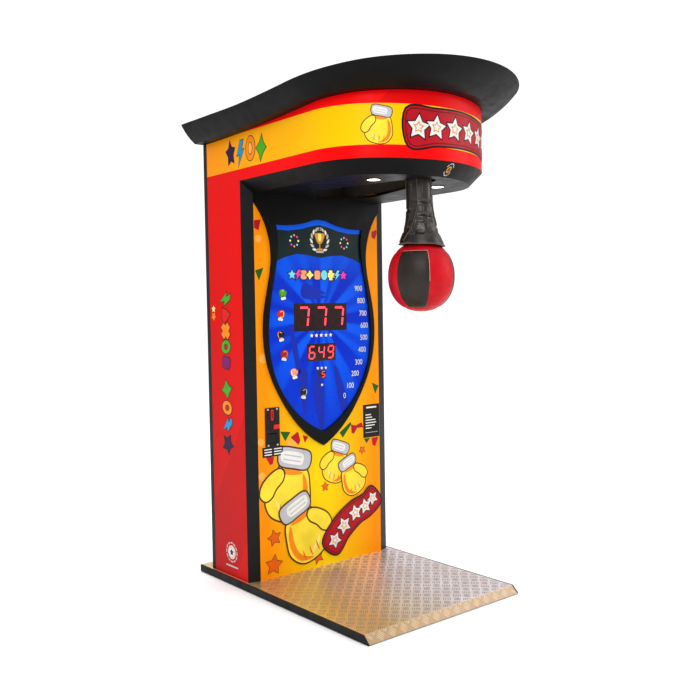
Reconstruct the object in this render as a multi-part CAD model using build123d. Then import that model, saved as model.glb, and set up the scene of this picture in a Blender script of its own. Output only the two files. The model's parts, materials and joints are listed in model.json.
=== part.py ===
from build123d import *
import os
from math import atan2, cos, pi, radians, sin, sqrt, tan

# Boxing punch machine, millimetres.
# +X is the player's right, +Y is the rear, +Z is up.
# The origin lies on the floor, under the centre of the whole machine's outline.

# ---------------------------------------------------------------- driving dimensions
base_width = 720
base_depth = 1020
base_top = 28
pad_height = 3
bevel_run = 26              # horizontal run of the base's bevelled front edge
plate_sheet = 3             # tread plate thickness
edge_strip = 6              # width of the bare base edge beside the tread plate

nose_overhang = 180         # how far the canopy reaches ahead of the base
base_front = -(base_depth - nose_overhang) // 2
base_rear = base_front + base_depth

half_width = 345            # tower and head, to the outer faces
side_sheet = 18             # side panel thickness
tower_rear = base_rear - 70
back_sheet = 24
side_front = 276            # front edge of the side panels below the head
panel_front = 258           # front plane of the front panel
panel_sheet = 12
post_inset = 44             # width of the chamfered corner posts, seen from the front

soffit_z = 1466             # flat underside of the head
band_z = soffit_z + post_inset   # lower edge of the printed band
soffit_sheet = 4

nose_side_y = -162          # where the straight sides of the head end
nose_tip_y = -445           # front of the band
nose_corner_r = 248
band_sheet = 6

ledge_rear_z = 1677         # where the canopy meets the band, at the rear
ledge_front_z = 1726
rim_rear_z = 1743
rim_front_z = 1798
rim_side_overhang = 93
rim_front_overhang = 155
canopy_sheet = 4
canopy_ledge = 36

pivot_y = -304              # the bag's pivot
pivot_z = 1510
ball_z = 1147
ball_radius = 113
ball_half_height = 121
sleeve_top_z = 1482
sleeve_hem_z = 1250
sleeve_radius = 43.5
hem_radius = 80
leather = 4
shaft_radius = 10
running_gap = 0.05

slot_front_r = 53           # keyhole slot in the soffit that the bag swings into
slot_rear_r = 142
slot_rear_y = 95

cheek_in = 116              # inner faces of the mechanism's cheek plates
cheek_out = 120

inner_half = half_width - side_sheet
panel_half = half_width - post_inset
panel_rear = panel_front + panel_sheet

door_half = 288
door_low = 182
door_high = 1398
door_gap = 2
hinge_x = 291
hinge_y = tower_rear + 6
lock_x = -265
lock_z = 790

coin_x = -236.5             # centre of the coin plate
coin_z = 600.5
plate_half_x = 31.5
plate_half_z = 73.5
plate_face = panel_front - 4
button_x = coin_x + 15
button_z = coin_z + 1
flap_x = (coin_x - 20, coin_x + 20)
flap_z = (coin_z - 62, coin_z - 22)
cup_rear = 306

score_window = (130, 956, 1063)      # half width, low z, high z
record_window = (71, 838, 906)
credit_window = (21, 769, 801)
windows = (score_window, record_window, credit_window)

light_x = 150               # the downlights
light_y = -237
speaker_z = 1540
inlet_x = -220              # the mains inlet
inlet_z = 105
rocker_z = inlet_z + 16

keeper_reach = 70           # from the pivot to the pin that the latch holds
disc_x = 150                # the encoder disc
arm_rod_low = ball_z + ball_half_height - 6

latch_y = -215
latch_z = 1625
latch_turn = 14             # degrees between the released hook and the latched one
tail_reach = 60             # from the hook's pin to the solenoid's axis
bridge_z = 1590

hinge_heights = (300, 1280)
knuckle = 20                # length of an outer hinge knuckle
knuckle_r = 5.5

parts = {}


# ---------------------------------------------------------------- helpers
def block(x0, x1, y0, y1, z0, z1):
    size = (x1 - x0, y1 - y0, z1 - z0)
    return Pos((x0 + x1) / 2, (y0 + y1) / 2, (z0 + z1) / 2) * Box(*size)


def rod(axis, centre, radius, start, end):
    """A cylinder along X, Y or Z; centre gives the other two coordinates in order."""
    length = end - start
    middle = (start + end) / 2
    if axis == "X":
        return Pos(middle, *centre) * Rot(0, 90, 0) * Cylinder(radius, length)
    if axis == "Y":
        return Pos(centre[0], middle, centre[1]) * Rot(90, 0, 0) * Cylinder(radius, length)
    return Pos(centre[0], centre[1], middle) * Cylinder(radius, length)


def slab_yz(points, x0, x1):
    """A closed outline in the YZ plane, extruded from x0 to x1."""
    face = make_face(Plane.YZ * Polyline(*points, close=True))
    return Pos(x0, 0, 0) * extrude(face, x1 - x0, dir=(1, 0, 0))


def slab_xz(face_xz, y0, y1):
    """A face drawn in (x, z), extruded from y0 to y1."""
    return Pos(0, y0, 0) * extrude(Plane.XZ * face_xz, y1 - y0, dir=(0, 1, 0))


def slab_xy(points, z0, z1):
    face = make_face(Polyline(*points, close=True))
    return Pos(0, 0, z0) * extrude(face, z1 - z0, dir=(0, 0, 1))


def mirrored(shape):
    return mirror(shape, about=Plane.YZ)


def save(name, shape):
    parts[name] = shape


# ---------------------------------------------------------------- the head's plan outline
def front_arc_radius(inset):
    """Radius of the shallow front arc that meets both corner arcs, inset from the band."""
    across = half_width - nose_corner_r
    along = nose_side_y - nose_tip_y
    square = across ** 2 + along ** 2 - nose_corner_r ** 2
    return square / (2 * (along - nose_corner_r)) - inset


def arc_junction():
    """Angle, from straight ahead, where the front arc meets a corner arc."""
    across = half_width - nose_corner_r
    return atan2(across, nose_tip_y + front_arc_radius(0) - nose_side_y)


def head_outline(inset, rear_y):
    """The head's plan at z = 0: straight sides, corner arcs and a shallow front arc."""
    half = half_width - inset
    corner = nose_corner_r - inset
    centre_x = half_width - nose_corner_r
    front = front_arc_radius(inset)
    centre_y = nose_tip_y + front_arc_radius(0)
    meet = arc_junction()
    mid = (pi / 2 + meet) / 2

    def on_corner(angle, side):
        return (side * (centre_x + corner * sin(angle)), nose_side_y - corner * cos(angle))

    tip = (0, centre_y - front)
    edges = [
        Line((-half, rear_y), (-half, nose_side_y)),
        ThreePointArc((-half, nose_side_y), on_corner(mid, -1), on_corner(meet, -1)),
        ThreePointArc(on_corner(meet, -1), tip, on_corner(meet, 1)),
        ThreePointArc(on_corner(meet, 1), on_corner(mid, 1), (half, nose_side_y)),
        Line((half, nose_side_y), (half, rear_y)),
        Line((half, rear_y), (-half, rear_y)),
    ]
    return make_face(Curve() + edges)


def rise(y, start, end):
    """0 behind start, growing to 1 at end, which lies further forward."""
    return max(0, (start - y) / (start - end)) ** 1.4


def ledge_height(y):
    return ledge_rear_z + (ledge_front_z - ledge_rear_z) * rise(y, 380, nose_tip_y)


def rim_height(y):
    return rim_rear_z + (rim_front_z - rim_rear_z) * rise(y, 180, nose_tip_y - rim_front_overhang)


def band_station(turn):
    """Point and outward normal on the band, turn degrees from the side to straight ahead."""
    angle = radians(90 - turn)
    out_x, out_y = sin(angle), -cos(angle)
    if angle >= arc_junction():
        x = half_width - nose_corner_r + nose_corner_r * out_x
        y = nose_side_y + nose_corner_r * out_y
    else:
        front = front_arc_radius(0)
        x = front * out_x
        y = nose_tip_y + front + front * out_y
    return x, y, out_x, out_y


def canopy_stations():
    """Stations (x, y, outward x, outward y, turn) from the rear, round the nose, to the rear."""
    side = [(half_width, y, 1, 0, 0) for y in range(tower_rear, nose_side_y + 30, -82)]
    nose = [(*band_station(turn), turn) for turn in (0, 15, 30, 45, 60, 75, 90)]
    right = side + nose
    left = [(-x, y, -out_x, out_y, turn) for x, y, out_x, out_y, turn in reversed(right[:-1])]
    return right + left


def overhang(turn):
    return rim_side_overhang + (rim_front_overhang - rim_side_overhang) * sin(radians(turn)) ** 2.5


# ---------------------------------------------------------------- base
def build_base():
    slope = bevel_run / (base_top - pad_height)
    inner_foot = plate_sheet * sqrt(1 + slope ** 2)
    inner_top = base_front + inner_foot + (base_top - plate_sheet - pad_height) * slope
    board_outline = [
        (base_front, pad_height),
        (base_rear, pad_height),
        (base_rear, base_top),
        (base_front + bevel_run, base_top),
    ]
    plate_outline = [
        (base_front, pad_height),
        (base_front + bevel_run, base_top),
        (base_rear, base_top),
        (base_rear, base_top - plate_sheet),
        (inner_top, base_top - plate_sheet),
        (base_front + inner_foot, pad_height),
    ]
    half = base_width / 2
    plate = slab_yz(plate_outline, -half + edge_strip, half - edge_strip)
    save("base_board", slab_yz(board_outline, -half, half) - plate)
    save("tread_plate", plate)
    pads = [
        rod("Z", (x, y), 20, 0, pad_height)
        for x in (-310, 310)
        for y in (base_front + 60, 90, base_rear - 50)
    ]
    save("rubber_pads", Compound(children=pads))


# ---------------------------------------------------------------- tower and head shells
def above_ledge():
    """Everything above the canopy's lower edge, used to trim the band and side tops."""
    steps = [tower_rear + 40, 380, 250, 120, 0, -120, -240, -360, nose_tip_y - 20]
    line = [(y, ledge_height(y) - 0.5) for y in steps]
    top = 1900
    curve = Spline(*line)
    close = Polyline(line[-1], (steps[-1], top), (steps[0], top), line[0])
    face = make_face(Plane.YZ * (Curve() + [curve, close]))
    return Pos(-500, 0, 0) * extrude(face, 1000, dir=(1, 0, 0))


def build_side_panels(trim):
    top = 1800
    outline = [
        (side_front, base_top),
        (tower_rear - back_sheet, base_top),
        (tower_rear - back_sheet, top),
        (nose_side_y, top),
        (nose_side_y, band_z),
        (side_front, band_z),
    ]
    right = slab_yz(outline, inner_half, half_width) - trim
    save("side_panel_right", right)
    save("side_panel_left", mirrored(right))


def build_nose_band(trim):
    ring = head_outline(0, 0) - head_outline(band_sheet, 0)
    band = Pos(0, 0, band_z) * extrude(ring, 300, dir=(0, 0, 1))
    behind = block(-400, 400, nose_side_y, 50, band_z - 1, 1900)
    save("nose_band", band - behind - trim)


def head_pan(inset, low_z):
    """A solid that is the full outline at the band and post_inset smaller at low_z."""
    wide = Pos(0, 0, band_z) * head_outline(inset, side_front + 60)
    narrow = Pos(0, 0, low_z) * head_outline(post_inset + inset, side_front + 60)
    return loft([narrow, wide], ruled=True)


def slot_cutter(grow, z0, z1):
    """The keyhole slot: a small front circle and a large rear one, joined by tangents."""
    front_r = slot_front_r + grow
    rear_r = slot_rear_r + grow
    lean = (rear_r - front_r) / (slot_rear_y - pivot_y)
    run = sqrt(1 - lean ** 2)
    corners = [
        (side * r * run, y - r * lean)
        for side, r, y in ((-1, front_r, pivot_y), (-1, rear_r, slot_rear_y),
                           (1, rear_r, slot_rear_y), (1, front_r, pivot_y))
    ]
    front_disc = rod("Z", (0, pivot_y), front_r, z0, z1)
    rear_disc = rod("Z", (0, slot_rear_y), rear_r, z0, z1)
    return slab_xy(corners, z0, z1) + front_disc + rear_disc


def build_soffit():
    shell = head_pan(0, soffit_z) - head_pan(soffit_sheet, soffit_z + soffit_sheet)
    edge = half_width + 5
    slope = (side_front - panel_front) / post_inset
    behind = [
        (-edge, panel_front + (edge - panel_half) * slope),
        (-panel_half, panel_front),
        (panel_half, panel_front),
        (edge, panel_front + (edge - panel_half) * slope),
        (edge, 500),
        (-edge, 500),
    ]
    shell -= slab_xy(behind, soffit_z - 5, band_z + 5)
    lip = slot_cutter(3, soffit_z, soffit_z + 8) - slot_cutter(0, soffit_z - 1, soffit_z + 9)
    shell = shell - slot_cutter(0, soffit_z - 1, soffit_z + 20) + lip
    for side in (-1, 1):
        shell -= rod("Z", (side * light_x, light_y), 25, soffit_z - 1, soffit_z + 10)
    save("soffit_moulding", shell)


def build_downlights():
    housings = []
    lenses = []
    for side in (-1, 1):
        centre = (side * light_x, light_y)
        body = rod("Z", centre, 28, soffit_z - 2, soffit_z)
        body += rod("Z", centre, 24.7, soffit_z, soffit_z + 30)
        for fin in range(4):
            z = soffit_z + 14 + fin * 4
            body -= rod("Z", centre, 30, z, z + 2) - rod("Z", centre, 20, z, z + 2)
        body -= rod("Z", centre, 22, soffit_z - 3, soffit_z + 6)
        housings.append(body)
        lenses.append(rod("Z", centre, 21.8, soffit_z - 1.2, soffit_z + 2))
    save("downlight_housings", Compound(children=housings))
    save("downlight_lenses", Compound(children=lenses))


def canopy_section(station):
    """One closed section of the canopy's shell, in the vertical plane at a station."""
    x, y, out_x, out_y, turn = station
    reach = overhang(turn)
    low = ledge_height(y)
    high = rim_height(y + out_y * reach)

    def at(out, z):
        return Vector(x + out_x * out, y + out_y * out, z)

    def flank(start, end):
        run, climb = end[0] - start[0], end[1] - start[1]
        bulge = 0.06
        middle = ((start[0] + end[0]) / 2 + bulge * climb, (start[1] + end[1]) / 2 - bulge * run)
        return ThreePointArc(at(*start), at(*middle), at(*end))

    outer_low = (canopy_ledge, low)
    outer_high = (reach, high)
    inner_high = (reach - canopy_sheet, high)
    inner_low = (canopy_ledge - canopy_sheet / 2, low + canopy_sheet)
    edges = [
        Line(at(-10, low), at(*outer_low)),
        flank(outer_low, outer_high),
        Line(at(*outer_high), at(*inner_high)),
        flank(inner_low, inner_high),
        Line(at(*inner_low), at(-10, low + canopy_sheet)),
        Line(at(-10, low + canopy_sheet), at(-10, low)),
    ]
    return Wire(edges)


def build_canopy():
    sections = [canopy_section(station) for station in canopy_stations()]
    save("canopy", Solid.make_loft(sections, ruled=False))


def build_roof():
    """The closing panel, sunk a little below the canopy's rim and curved like it."""
    sink = 15
    points = []
    for x, y, out_x, out_y, turn in canopy_stations():
        reach = overhang(turn) - 20 - 14 * sin(radians(turn))
        points.append((x + out_x * reach, y + out_y * reach))
    plan = make_face(Curve() + [Spline(*points), Line(points[-1], points[0])])
    prism = Pos(0, 0, 1600) * extrude(plan, 300, dir=(0, 0, 1))
    steps = [tower_rear + 10, 300, 180, 60, -60, -180, -300, -420, nose_tip_y - rim_front_overhang]
    top = [(y, rim_height(y) - sink) for y in steps]
    bottom = [(y, z - 3) for y, z in reversed(top)]
    outline = [Spline(*top), Line(top[-1], bottom[0]), Spline(*bottom), Line(bottom[-1], top[0])]
    strip = Pos(-500, 0, 0) * extrude(make_face(Plane.YZ * (Curve() + outline)), 1000, dir=(1, 0, 0))
    low = ledge_rear_z + canopy_sheet + 0.5
    high = rim_rear_z - sink - 1
    wide_low = half_width + canopy_ledge - canopy_sheet
    wide_high = half_width + rim_side_overhang - 18
    rear = make_face(Polyline((-wide_low, low), (wide_low, low), (wide_high, high),
                              (-wide_high, high), close=True))
    save("roof_panel", (prism & strip) + slab_xz(rear, tower_rear - 4, tower_rear))


def build_posts():
    outline = [
        (half_width, side_front),
        (panel_half, panel_front),
        (panel_half, side_front + 24),
        (inner_half, side_front + 24),
        (inner_half, side_front),
    ]
    post = slab_xy(outline, base_top, band_z)
    mitre = make_face(Polyline((panel_half - 1, soffit_z - 1), (half_width + 1, band_z + 1),
                               (panel_half - 1, band_z + 1), close=True))
    right = post - slab_xz(mitre, panel_front - 5, side_front + 60)
    save("corner_post_right", right)
    save("corner_post_left", mirrored(right))


def build_back_frame(trim):
    front = tower_rear - back_sheet
    frame = block(-half_width, half_width, front, tower_rear, base_top, 1800) - trim
    opening = door_half + door_gap
    frame -= block(-opening, opening, front - 1, tower_rear + 1, door_low - door_gap,
                   door_high + door_gap)
    for step in range(-5, 6):
        x = step * 10
        reach = sqrt(60 ** 2 - x ** 2)
        frame -= block(x - 1.7, x + 1.7, front - 1, tower_rear + 1, speaker_z - reach,
                       speaker_z + reach)
    frame -= block(inlet_x - 24, inlet_x + 24, front - 1, tower_rear + 1, inlet_z - 30, inlet_z + 30)
    save("back_frame", frame)


def build_speaker():
    rear = tower_rear - back_sheet
    basket = rod("Y", (0, speaker_z), 66, rear - 5, rear)
    cone = Pos(0, rear - 22.5, speaker_z) * Rot(-90, 0, 0) * Cone(30, 60, 35)
    magnet = rod("Y", (0, speaker_z), 36, rear - 60, rear - 38)
    hollow = Pos(0, rear - 17, speaker_z) * Rot(-90, 0, 0) * Cone(20, 56, 35)
    save("speaker", basket + cone + magnet - hollow)


def build_tower_brackets():
    brackets = []
    bolts = []
    for side in (-1, 1):
        for y in (330, 470):
            foot = block(inner_half - 45, inner_half, y - 20, y + 20, base_top, base_top + 3)
            wall = block(inner_half - 3, inner_half, y - 20, y + 20, base_top, base_top + 60)
            angle = foot + wall
            brackets.append(angle if side > 0 else mirrored(angle))
            bolts.append(hex_bolt("Z", (side * (inner_half - 26), y), base_top + 3, 1))
            bolts.append(hex_bolt("X", (y, base_top + 42), side * (inner_half - 3), -side))
    for side in (-1, 1):
        for z in (-27.5, 27.5):
            face = side * (cheek_out + 8)
            bolts.append(hex_bolt("X", (pivot_y, pivot_z + z), face, side))
    save("tower_brackets", Compound(children=brackets))
    save("hex_bolts", Compound(children=bolts))


def hex_bolt(axis, centre, face, way):
    """A hexagon head standing way (+1 or -1) along the axis from a face."""
    head = extrude(RegularPolygon(6.5, 6), 5.3, dir=(0, 0, 1)) + Pos(0, 0, 5.3) * Cylinder(
        3.6, 1.4, align=(Align.CENTER, Align.CENTER, Align.MIN))
    if axis == "Z":
        return Pos(centre[0], centre[1], face) * head
    return Pos(face, *centre) * Rot(0, 90 * way, 0) * head


# ---------------------------------------------------------------- front panel and display
def shield_face(grow):
    """The display's shield: waved top edge, waist, full belly and pointed foot."""
    side = [(210, 1357), (203, 1265), (222, 1156), (247, 1010), (250, 915), (228, 800),
            (168, 690), (90, 612), (0, 562)]
    top = [(0, 1385), (75, 1369), (150, 1357), (210, 1357)]
    middle, half_tall, half_wide = 977, 415, 250

    def grown(points):
        wide = 1 + grow / half_wide
        tall = 1 + grow / half_tall
        return [(x * wide, middle + (z - middle) * tall) for x, z in points]

    right = [Spline(*grown(top), tangents=[(1, 0), (1, 0.1)]), Spline(*grown(side))]
    left = [mirror(edge, about=Plane.YZ) for edge in right]
    return make_face(Curve() + right + left)


def bezel_face():
    """The black surround: fills the fascia above the shield and follows its sides."""
    flank = [(panel_half, 1432), (247, 1340), (229, 1245), (243, 1138), (265, 1030), (270, 945),
             (252, 825), (190, 693), (95, 574), (0, 507)]
    right = [
        Line((0, soffit_z), (panel_half, soffit_z)),
        Line((panel_half, soffit_z), flank[0]),
        Spline(*flank),
    ]
    left = [mirror(edge, about=Plane.YZ) for edge in right]
    return make_face(Curve() + right + left)


def build_display():
    bezel_depth = 12
    panel_depth = 4
    bezel_y = panel_front - bezel_depth
    rebate = slab_xz(shield_face(6), panel_front - panel_depth, panel_front + 1)
    opening = slab_xz(shield_face(0), bezel_y - 1, panel_front + 1)
    bezel = slab_xz(bezel_face(), bezel_y, panel_front)
    save("display_bezel", bezel - opening - rebate)

    sheet = slab_xz(shield_face(5.7), panel_front - panel_depth, panel_front)
    panes = []
    for half, low, high in windows:
        pane = block(-half, half, panel_front - panel_depth, panel_front, low, high)
        sheet -= pane
        panes.append(pane)
    save("display_panel", sheet)
    save("led_windows", Compound(children=panes))


def display_module(window, digits):
    """A board behind the front panel with one raised seven-segment block per digit."""
    half, low, high = window
    board_y = panel_rear + 2
    module = block(-half - 8, half + 8, board_y, board_y + 1.6, low - 8, high + 8)
    pitch = (2 * half - 8) / digits
    for number in range(digits):
        left = -half + 4 + number * pitch
        module += block(left + 0.5, left + pitch - 0.5, panel_front + 1, board_y, low + 5, high - 5)
    module += block(-half * 0.6, half * 0.6, board_y + 1.6, board_y + 9, low + 4, low + 14)
    return module


def build_display_modules():
    save("score_display", display_module(score_window, 3))
    save("record_display", display_module(record_window, 3))
    save("credit_display", display_module(credit_window, 1))


def build_front_panel():
    panel = block(-panel_half, panel_half, panel_front, panel_rear, base_top, ledge_rear_z - 2)
    for half, low, high in windows:
        panel -= block(-half + 1, half - 1, panel_front - 1, panel_rear + 1, low + 1, high - 1)
    panel -= block(coin_x - 26, coin_x + 29, panel_front - 1, panel_rear + 1, coin_z - 66, coin_z + 70)
    save("front_panel", panel)


def build_notice_plates():
    price = block(-282, -191, panel_front - 1.5, panel_front, 490, 526.5)
    rules = block(213, 299, panel_front - 1.5, panel_front, 511, 646)
    save("notice_plates", Compound(children=[price, rules]))


# ---------------------------------------------------------------- coin mechanism
def build_coin_plate():
    plate = block(coin_x - plate_half_x, coin_x + plate_half_x, plate_face, panel_front,
                  coin_z - plate_half_z, coin_z + plate_half_z)
    plate = fillet(plate.edges().filter_by(Axis.Y), 3)
    slot = block(coin_x - 5.3, coin_x - 1.7, plate_face - 5, panel_front + 1, coin_z + 33, coin_z + 61)
    button_hole = block(button_x - 13.5, button_x + 13.5, plate_face - 1, panel_front + 1,
                        button_z - 9, button_z + 9)
    flap_hole = block(flap_x[0], flap_x[1], plate_face - 1, panel_front + 1, flap_z[0], flap_z[1])
    entry = block(coin_x - 9.5, coin_x + 2.5, plate_face - 3, plate_face, coin_z + 26, coin_z + 67)
    entry = fillet(entry.edges().filter_by(Axis.Y), 4)
    save("coin_faceplate", plate - slot - button_hole - flap_hole)
    save("coin_entry", entry - slot)
    screws = []
    for x in (-20.5, 20.5):
        for z in (-67.5, 67.5):
            dome = Sphere(4.5) & Pos(0, -4, 0) * Box(10, 8, 10)
            screws.append(Pos(coin_x + x, plate_face, coin_z + z) * scale(dome, by=(1, 0.5, 1)))
    save("coin_plate_screws", Compound(children=screws))


def build_reject_button():
    cap = block(button_x - 13.2, button_x + 13.2, plate_face - 5, panel_front + 2,
                button_z - 8.7, button_z + 8.7)
    cap = chamfer(cap.edges().group_by(Axis.Y)[0], 1)
    stem = rod("Y", (button_x, button_z), 4, panel_front + 2, panel_front + 5)
    save("reject_button", cap + stem)


def build_coin_return():
    wall = 2
    outer = block(flap_x[0] - 1 - wall, flap_x[1] + 1 + wall, panel_front, cup_rear,
                  flap_z[0] - wall, flap_z[1] + 4 + wall)
    inner = block(flap_x[0] - 1, flap_x[1] + 1, panel_front - 1, cup_rear - wall,
                  flap_z[0], flap_z[1] + 4)
    pin_y = panel_front + 3
    pin_z = flap_z[1] - 1
    cup = outer - inner - rod("X", (pin_y, pin_z), 1.6, flap_x[0] - 10, flap_x[1] + 10)
    save("coin_return_cup", cup)
    leaf = block(flap_x[0] + 0.5, flap_x[1] - 0.5, plate_face + 1, plate_face + 3.5,
                 flap_z[0] + 1.5, flap_z[1] - 4)
    neck = block(flap_x[0] + 0.5, flap_x[1] - 0.5, plate_face + 1, pin_y, flap_z[1] - 6, flap_z[1] - 3.5)
    barrel = rod("X", (pin_y, pin_z), 2.2, flap_x[0] + 0.5, flap_x[1] - 0.5)
    web = block(flap_x[0] + 0.5, flap_x[1] - 0.5, pin_y - 1.2, pin_y + 1.2, flap_z[1] - 6, pin_z)
    pins = rod("X", (pin_y, pin_z), 1.54, flap_x[0] - 2.5, flap_x[1] + 2.5)
    save("coin_return_flap", leaf + neck + web + barrel + pins)


def build_coin_path():
    body = block(coin_x - 24, coin_x + 24, panel_front + 10, 335, coin_z - 10, coin_z + 68)
    body -= block(coin_x - 18, coin_x + 18, 325, 336, coin_z + 8, coin_z + 60)
    body += block(coin_x - 14, coin_x + 14, 325, 331, coin_z + 20, coin_z + 48)
    save("coin_validator", body)

    sheet = 1.5
    left, right = coin_x - 16, coin_x + 16
    front, rear = cup_rear + 1, cup_rear + 28
    low, high = 190, coin_z - 14
    chute = block(left, right, front, rear, low, high)
    chute -= block(left + sheet, right - sheet, front + sheet, rear - sheet, low - 1, high + 1)
    save("coin_chute", chute)

    left, right, front, rear, high = -275, -140, 285, 445, 170
    box = block(left, right, front, rear, base_top, high)
    box -= block(left + sheet, right - sheet, front + sheet, rear - sheet, base_top + sheet, high + 1)
    handle = block(-240, -180, rear, rear + 25, 98, 102)
    handle -= block(-234, -186, rear - 1, rear + 19, 97, 103)
    save("cash_box", box + handle)


# ---------------------------------------------------------------- electronics
def build_electronics():
    wall = inner_half
    board = block(wall - 10, wall - 8.4, 310, 470, 900, 1100)
    for y, z, wide, tall, depth in ((350, 960, 36, 36, 5), (430, 960, 28, 50, 14),
                                    (345, 1050, 40, 20, 12), (425, 1055, 50, 30, 8)):
        board += block(wall - 10 - depth, wall - 10, y - wide / 2, y + wide / 2,
                       z - tall / 2, z + tall / 2)
    for y in (316, 464):
        for z in (906, 1094):
            board += rod("X", (y, z), 3, wall - 8.4, wall)
    save("controller_board", board)

    supply = block(170, 270, 330, 470, base_top, base_top + 50)
    supply = fillet(supply.edges().filter_by(Axis.Z), 2)
    for row in range(6):
        x = 185 + row * 14
        supply -= block(x - 1.5, x + 1.5, 345, 455, base_top + 47, base_top + 51)
    supply += block(180, 260, 470, 482, base_top, base_top + 16)
    save("power_supply", supply)


# ---------------------------------------------------------------- swinging bag
def build_mechanism_frame():
    low, high = 1475, 1560
    front, rear = -375, panel_front
    frame = block(-cheek_out, cheek_out, front, rear, low, high)
    frame -= block(-cheek_in, cheek_in, front + 4, rear - 4, low - 1, high + 1)
    for side in (-1, 1):
        flange = block(cheek_out, 180, rear - 4, rear, low, high)
        frame += flange if side > 0 else mirrored(flange)
        for y in (-150, 200):
            tube = block(cheek_out, inner_half, y - 12.5, y + 12.5, 1500, 1525)
            tube -= block(cheek_out, inner_half + 1, y - 10.5, y + 10.5, 1502, 1523)
            frame += tube if side > 0 else mirrored(tube)
    frame -= rod("X", (pivot_y, pivot_z), 16, -200, 200)
    save("mechanism_frame", frame)


def build_bearings():
    flange = block(cheek_out, cheek_out + 8, pivot_y - 24, pivot_y + 24, pivot_z - 35, pivot_z + 35)
    flange = fillet(flange.edges().filter_by(Axis.X), 20)
    hub = rod("X", (pivot_y, pivot_z), 20, cheek_out + 8, cheek_out + 20)
    hub = chamfer(hub.edges().group_by(Axis.X)[-1], 2)
    bore = rod("X", (pivot_y, pivot_z), shaft_radius + running_gap, cheek_out - 1, cheek_out + 30)
    right = flange + hub - bore
    save("bearing_right", right)
    save("bearing_left", mirrored(right))


def build_arm():
    save("pivot_shaft", rod("X", (pivot_y, pivot_z), shaft_radius, -cheek_out - 26, disc_x + 8))

    hub = rod("X", (pivot_y, pivot_z), 22, -30, 30)
    lever = block(-5, 5, pivot_y, pivot_y + keeper_reach, pivot_z - 8, pivot_z + 8)
    lever_end = rod("X", (pivot_y + keeper_reach, pivot_z), 8, -5, 5)
    keeper = rod("X", (pivot_y + keeper_reach, pivot_z), 5, -15, 15)
    lug = block(-14, 14, pivot_y - 14, pivot_y + 14, pivot_z - 27, pivot_z)
    bore = rod("X", (pivot_y, pivot_z), shaft_radius, -40, 40)
    save("arm_hub", hub + lever + lever_end + keeper + lug - bore)

    bar = rod("Z", (0, pivot_y), 8, arm_rod_low, pivot_z - 27)
    plate = rod("Z", (0, pivot_y), 30, arm_rod_low - 4, arm_rod_low)
    save("arm_rod", bar + plate)

    disc = rod("X", (pivot_y, pivot_z), 35, disc_x, disc_x + 2)
    disc += rod("X", (pivot_y, pivot_z), 15, disc_x - 8, disc_x)
    for step in range(18):
        turn = Pos(0, pivot_y, pivot_z) * Rot(step * 20, 0, 0)
        disc -= turn * Pos(disc_x + 1, 0, 30) * Box(4, 3, 7)
    disc -= rod("X", (pivot_y, pivot_z), shaft_radius, disc_x - 20, disc_x + 20)
    save("encoder_disc", disc)

    foot = block(cheek_out, disc_x + 8, pivot_y - 9, pivot_y + 9, pivot_z + 40, pivot_z + 46)
    fork = block(disc_x - 6, disc_x + 8, pivot_y - 9, pivot_y + 9, pivot_z + 26, pivot_z + 40)
    gap = block(disc_x - 2, disc_x + 4, pivot_y - 10, pivot_y + 10, pivot_z + 25, pivot_z + 37)
    save("optical_sensor", foot + fork - gap)


def build_ball():
    """The punch ball, a little taller than wide, with a pocket for the rod's plate."""
    bulb = scale(Sphere(ball_radius), by=(1, 1, ball_half_height / ball_radius))
    ball = Pos(0, pivot_y, ball_z) * bulb
    pocket = rod("Z", (0, pivot_y), 30, arm_rod_low - 4, ball_z + ball_half_height + 1)
    save("ball", ball - pocket)


def build_sleeve():
    """A leather sleeve, straight at the top and flared to its hem, open below."""
    outer = [(sleeve_radius, sleeve_top_z), (sleeve_radius, 1400), (sleeve_radius + 2, 1355),
             (56.5, 1305), (hem_radius - 6, 1265), (hem_radius, sleeve_hem_z)]
    inner = [(r - leather, z) for r, z in outer]
    inner[0] = (inner[0][0], sleeve_top_z - leather)
    neck_r = 8.1
    top = Polyline(inner[0], (neck_r, sleeve_top_z - leather), (neck_r, sleeve_top_z), outer[0])
    hem = Line(outer[-1], inner[-1])
    profile = make_face(Curve() + [Spline(*outer), hem, Spline(*inner), top])
    turned = revolve(Plane.XZ * profile, axis=Axis.Z)
    save("sleeve", Pos(0, pivot_y, 0) * turned)


# ---------------------------------------------------------------- latch
def build_latch_bridge():
    front, rear = -240, -120
    wall = cheek_out + 4
    bridge = block(-wall, wall, front, rear, bridge_z, bridge_z + 4)
    for side in (-1, 1):
        leg = block(cheek_out, wall, front, rear, 1530, bridge_z)
        ear = block(7, 11, latch_y - 14, latch_y + 14, bridge_z + 4, latch_z + 12)
        stand = block(21, 24, latch_y + tail_reach - 20, latch_y + tail_reach + 20,
                      bridge_z + 4, 1682)
        for piece in (leg, ear, stand):
            bridge += piece if side > 0 else mirrored(piece)
    bridge -= rod("X", (latch_y, latch_z), 4, -20, 20)
    save("latch_bridge", bridge)
    save("latch_pin", rod("X", (latch_y, latch_z), 4, -13, 13))
    parked_top = pivot_z + sleeve_radius + 2        # top of the sleeve when the ball is parked
    bumper = block(-18, 18, -200, -160, parked_top, bridge_z)
    bumper = fillet(bumper.edges().group_by(Axis.Z)[0], 4)
    save("park_bumper", bumper)


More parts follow.
